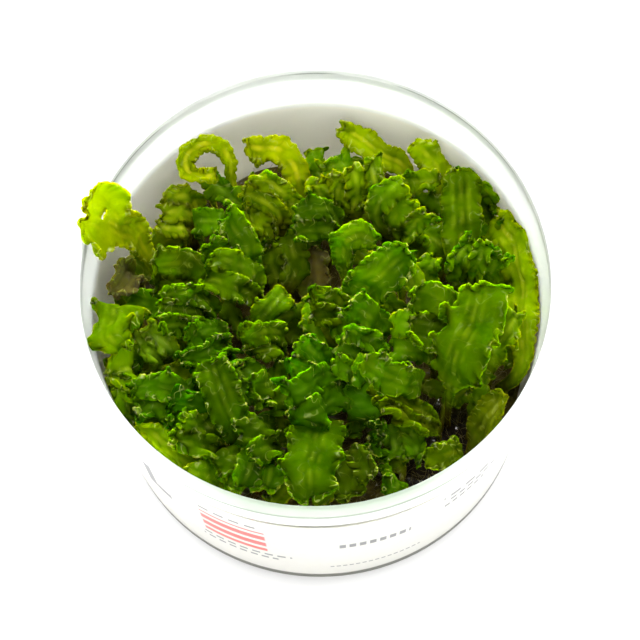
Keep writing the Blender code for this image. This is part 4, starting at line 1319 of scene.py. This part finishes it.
class MONOSOLENIUM_OT_mat(bpy.types.Operator):
    """Felts the brown mat and stands its rhizoids"""

    bl_idname = "monosolenium.mat"
    bl_label = "Felt the mat"

    def execute(self, context):
        settings = context.scene.monosolenium_plants
        rng = np.random.default_rng(settings.seed)
        low = float(inner_radius(MAT_BOTTOM)) - 2 * GAP
        high = float(inner_radius(MAT_LEVEL)) - 2 * GAP
        rings = [(high * k / FELT_RINGS, MAT_LEVEL) for k in range(FELT_RINGS + 1)]
        profile = [*rings, (low, MAT_BOTTOM), (0, MAT_BOTTOM)]
        felt = spun("rhizoid_felt", profile, FELT_STEPS, smooth_angle=None)
        mesh = felt.data
        flat = np.zeros(len(mesh.vertices) * 3, np.float32)
        mesh.vertices.foreach_get("co", flat)
        flat = flat.reshape(-1, 3) / MM
        top = flat[:, 2] > MAT_LEVEL - 1.0
        x, y = flat[top, 0], flat[top, 1]
        ripples = Ripples(rng)
        felted = 0.7 * ripples.field(x, y, 6.0, 9) + 0.45 * ripples.field(x, y, 2.8, 9)
        felted += 0.25 * np.abs(ripples.field(x, y, 1.6, 9))
        inner = eased((high - np.hypot(x, y)) / 1.5)
        flat[top, 2] = mat_surface(x, y) + felted * inner
        mesh.vertices.foreach_set("co", (flat * MM).ravel())
        mesh.update()
        finish_piece(felt, wet_felt(), "rhizoid_mat", "rhizoid_mat")
        hairs = stand_hairs("rhizoids", settings.hairs, settings.hair_width, rng)
        finish_piece(hairs, fine_hair(), "rhizoid_mat")
        return {"FINISHED"}


# How far out rhizoids stand and reach, how deep they are rooted, in mm, and the points of each
HAIR_ROOTS = 42.0
HAIR_REACH = 43.0
HAIR_DEPTH = 0.3
HAIR_POINTS = 7


def stand_hairs(name, count, width, rng):
    """Bent hairs that stand and lie on the mat, as one mesh."""
    curve = bpy.data.curves.new(name, "CURVE")
    curve.dimensions = "3D"
    curve.bevel_depth = width / 2
    curve.bevel_resolution = 0
    for _ in range(count):
        reach = HAIR_ROOTS * math.sqrt(rng.uniform())
        angle = rng.uniform(0, math.tau)
        at = np.array([reach * math.cos(angle), reach * math.sin(angle), 0.0])
        at[2] = mat_surface(at[0], at[1]) - HAIR_DEPTH
        way = unit(np.array([rng.normal(), rng.normal(), abs(rng.normal(0.6, 0.8)) + 0.15]))
        turn = rng.normal(0, 0.35, 3)
        step = rng.uniform(0.5, 1.4)
        spline = curve.splines.new("POLY")
        spline.points.add(HAIR_POINTS - 1)
        line = []
        for _ in range(HAIR_POINTS):
            line.append(at.copy())
            at = at + way * step
            way = unit(way + turn * 0.4 + rng.normal(0, 0.18, 3))
        line = np.array(line)
        far = np.hypot(line[:, 0], line[:, 1])
        line[:, :2] *= np.minimum(1.0, HAIR_REACH / np.maximum(far, 1e-6))[:, None]
        line[:, 2] = np.maximum(line[:, 2], mat_surface(line[:, 0], line[:, 1]) - HAIR_DEPTH)
        placed = np.column_stack([line * MM, np.ones(HAIR_POINTS)]).astype(np.float32)
        spline.points.foreach_set("co", placed.ravel())
        spline.points.foreach_set("radius", np.linspace(1.0, 0.35, HAIR_POINTS).astype(np.float32))
    blank = bpy.data.objects.new(name + "_blank", curve)
    bpy.context.scene.collection.objects.link(blank)
    bpy.context.view_layer.update()
    graph = bpy.context.evaluated_depsgraph_get()
    mesh = bpy.data.meshes.new_from_object(blank.evaluated_get(graph))
    bpy.data.objects.remove(blank)
    obj = bpy.data.objects.new(name, mesh)
    bpy.context.scene.collection.objects.link(obj)
    mesh.shade_smooth()
    return obj


class MONOSOLENIUM_OT_thalli(bpy.types.Operator):
    """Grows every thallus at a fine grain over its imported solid"""

    bl_idname = "monosolenium.thalli"
    bl_label = "Grow the thalli"

    def execute(self, context):
        settings = context.scene.monosolenium_plants
        ground = ground_under_plants()
        grids = make_room([ribbon_grid(one, ground) for one in THALLI])
        materials = {tone: wet_thallus(tone) for tone in TONES}
        grown = []
        for k, (one, grid) in enumerate(zip(THALLI, grids)):
            arms = arms_of(one, np.random.default_rng(settings.seed * 100 + k))
            columns = LONE_COLUMNS if len(arms) == 1 else FINE_COLUMNS
            sheets = [
                fine_ribbon(one, grid, arm, settings.seed * 1000 + 10 * k + n, FINE_STEP, columns)
                for n, arm in enumerate(arms)
            ]
            grow_thallus(one, sheets, materials[one.tone])
            grown += [points for points, _ in sheets]
        sheets = {tone: bmesh.new() for tone in sorted(set(YOUNG_TONES))}
        young = young_thalli(grown, ground, settings.seed)
        for k, one in enumerate(WALL_THALLI):
            coarse = held_in(ribbon_grid(one, ground))
            young.append((one, *fine_ribbon(one, coarse, WHOLE_RIBBON, settings.seed * 7 + k)))
        for one, points, skin in young:
            lay_sheet(sheets[one.tone], one, points, skin)
        for tone, bm in sheets.items():
            obj = link_mesh("young_thalli_" + tone, bm)
            wall_of_tissue(obj, YOUNG_TISSUE)
            finish_piece(obj, materials[tone], "thallus_" + tone)
        return {"FINISHED"}


def area_light(name, place, target, size, power):
    """A square light that looks at a place."""
    data = bpy.data.lights.new(name, "AREA")
    data.shape = "SQUARE"
    data.size = size
    data.energy = power
    obj = bpy.data.objects.new(name, data)
    obj.location = place
    obj.rotation_euler = (Vector(target) - Vector(place)).to_track_quat("-Z", "Y").to_euler()
    bpy.context.scene.collection.objects.link(obj)


# Half the board's side in metres, then each softbox's place, its size and its share of the key light
BOARD_SIZE = 3.0
SOFTBOXES = (
    ("back", (0.0, 0.85, 0.5), 0.7, 1.0),
    ("top", (0.0, 0.15, 0.95), 0.6, 0.83),
    ("front", (0.0, -0.85, 0.45), 0.8, 0.27),
)
# The small lights that the glints mirror: their size and their places in metres
SPARKLE_SIZE = 0.03
SPARKLES = (
    (-0.35, 0.25, 0.65), (0.30, 0.35, 0.65), (0.10, 0.10, 0.85), (-0.10, 0.50, 0.55), (0.45, 0.0, 0.6)
)
# The camera's lens in mm, its place in metres and its turns in degrees
LENS = 195.47
CAMERA_PLACE = (0.0, -0.26731, 0.70895)
CAMERA_TURNS = (21.796, 1.117, -2.914)


class MONOSOLENIUM_OT_stage(bpy.types.Operator):
    """Sets the white board, the lights and the camera"""

    bl_idname = "monosolenium.stage"
    bl_label = "Set the stage"

    def execute(self, context):
        settings = context.scene.monosolenium_stage
        scene = context.scene
        bm = bmesh.new()
        bmesh.ops.create_grid(bm, x_segments=1, y_segments=1, size=BOARD_SIZE)
        floor = link_mesh("white_board", bm)
        floor.data.materials.append(white_floor())
        for name, place, size, share in SOFTBOXES:
            area_light("softbox_" + name, place, (0, 0, 0.03), size, settings.key * share)
        for k, (x, y, z) in enumerate(SPARKLES):
            area_light(f"sparkle_{k + 1}", (x, y, z), (0, 0, 0.05), SPARKLE_SIZE, settings.sparkle)
        world = bpy.data.worlds.new("white surroundings")
        world.use_nodes = True
        world.node_tree.nodes["Background"].inputs[0].default_value = (1.0, 1.0, 1.0, 1.0)
        world.node_tree.nodes["Background"].inputs[1].default_value = settings.sky
        scene.world = world
        scene.view_settings.view_transform = "Standard"
        lens = bpy.data.cameras.new("camera")
        lens.lens = LENS
        lens.sensor_width = 36.0
        camera = bpy.data.objects.new("camera", lens)
        camera.location = CAMERA_PLACE
        camera.rotation_euler = [math.radians(turn) for turn in CAMERA_TURNS]
        scene.collection.objects.link(camera)
        scene.camera = camera
        return {"FINISHED"}


class MONOSOLENIUM_PT_panel(bpy.types.Panel):
    """Lists the steps in the sidebar"""

    bl_label = "Cup of liverwort"
    bl_idname = "MONOSOLENIUM_PT_panel"
    bl_space_type = "VIEW_3D"
    bl_region_type = "UI"
    bl_category = "Liverwort"

    def draw(self, context):
        for step in STEPS:
            self.layout.operator(step.bl_idname)
        for group in (context.scene.monosolenium_plants, context.scene.monosolenium_stage):
            for name in group.__annotations__:
                self.layout.prop(group, name)


STEPS = (
    MONOSOLENIUM_OT_cup,
    MONOSOLENIUM_OT_label,
    MONOSOLENIUM_OT_gel,
    MONOSOLENIUM_OT_mat,
    MONOSOLENIUM_OT_thalli,
    MONOSOLENIUM_OT_stage,
)
CLASSES = (MONOSOLENIUM_PG_plants, MONOSOLENIUM_PG_stage, *STEPS, MONOSOLENIUM_PT_panel)


def register():
    for one in CLASSES:
        bpy.utils.register_class(one)
    bpy.types.Scene.monosolenium_plants = bpy.props.PointerProperty(type=MONOSOLENIUM_PG_plants)
    bpy.types.Scene.monosolenium_stage = bpy.props.PointerProperty(type=MONOSOLENIUM_PG_stage)


def unregister():
    del bpy.types.Scene.monosolenium_stage
    del bpy.types.Scene.monosolenium_plants
    for one in reversed(CLASSES):
        bpy.utils.unregister_class(one)


def main():
    """Registers the add-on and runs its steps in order."""
    register()
    for step in STEPS:
        group, name = step.bl_idname.split(".")
        if getattr(getattr(bpy.ops, group), name)() != {"FINISHED"}:
            raise RuntimeError(step.bl_label + " did not finish")


if __name__ == "__main__":
    main()
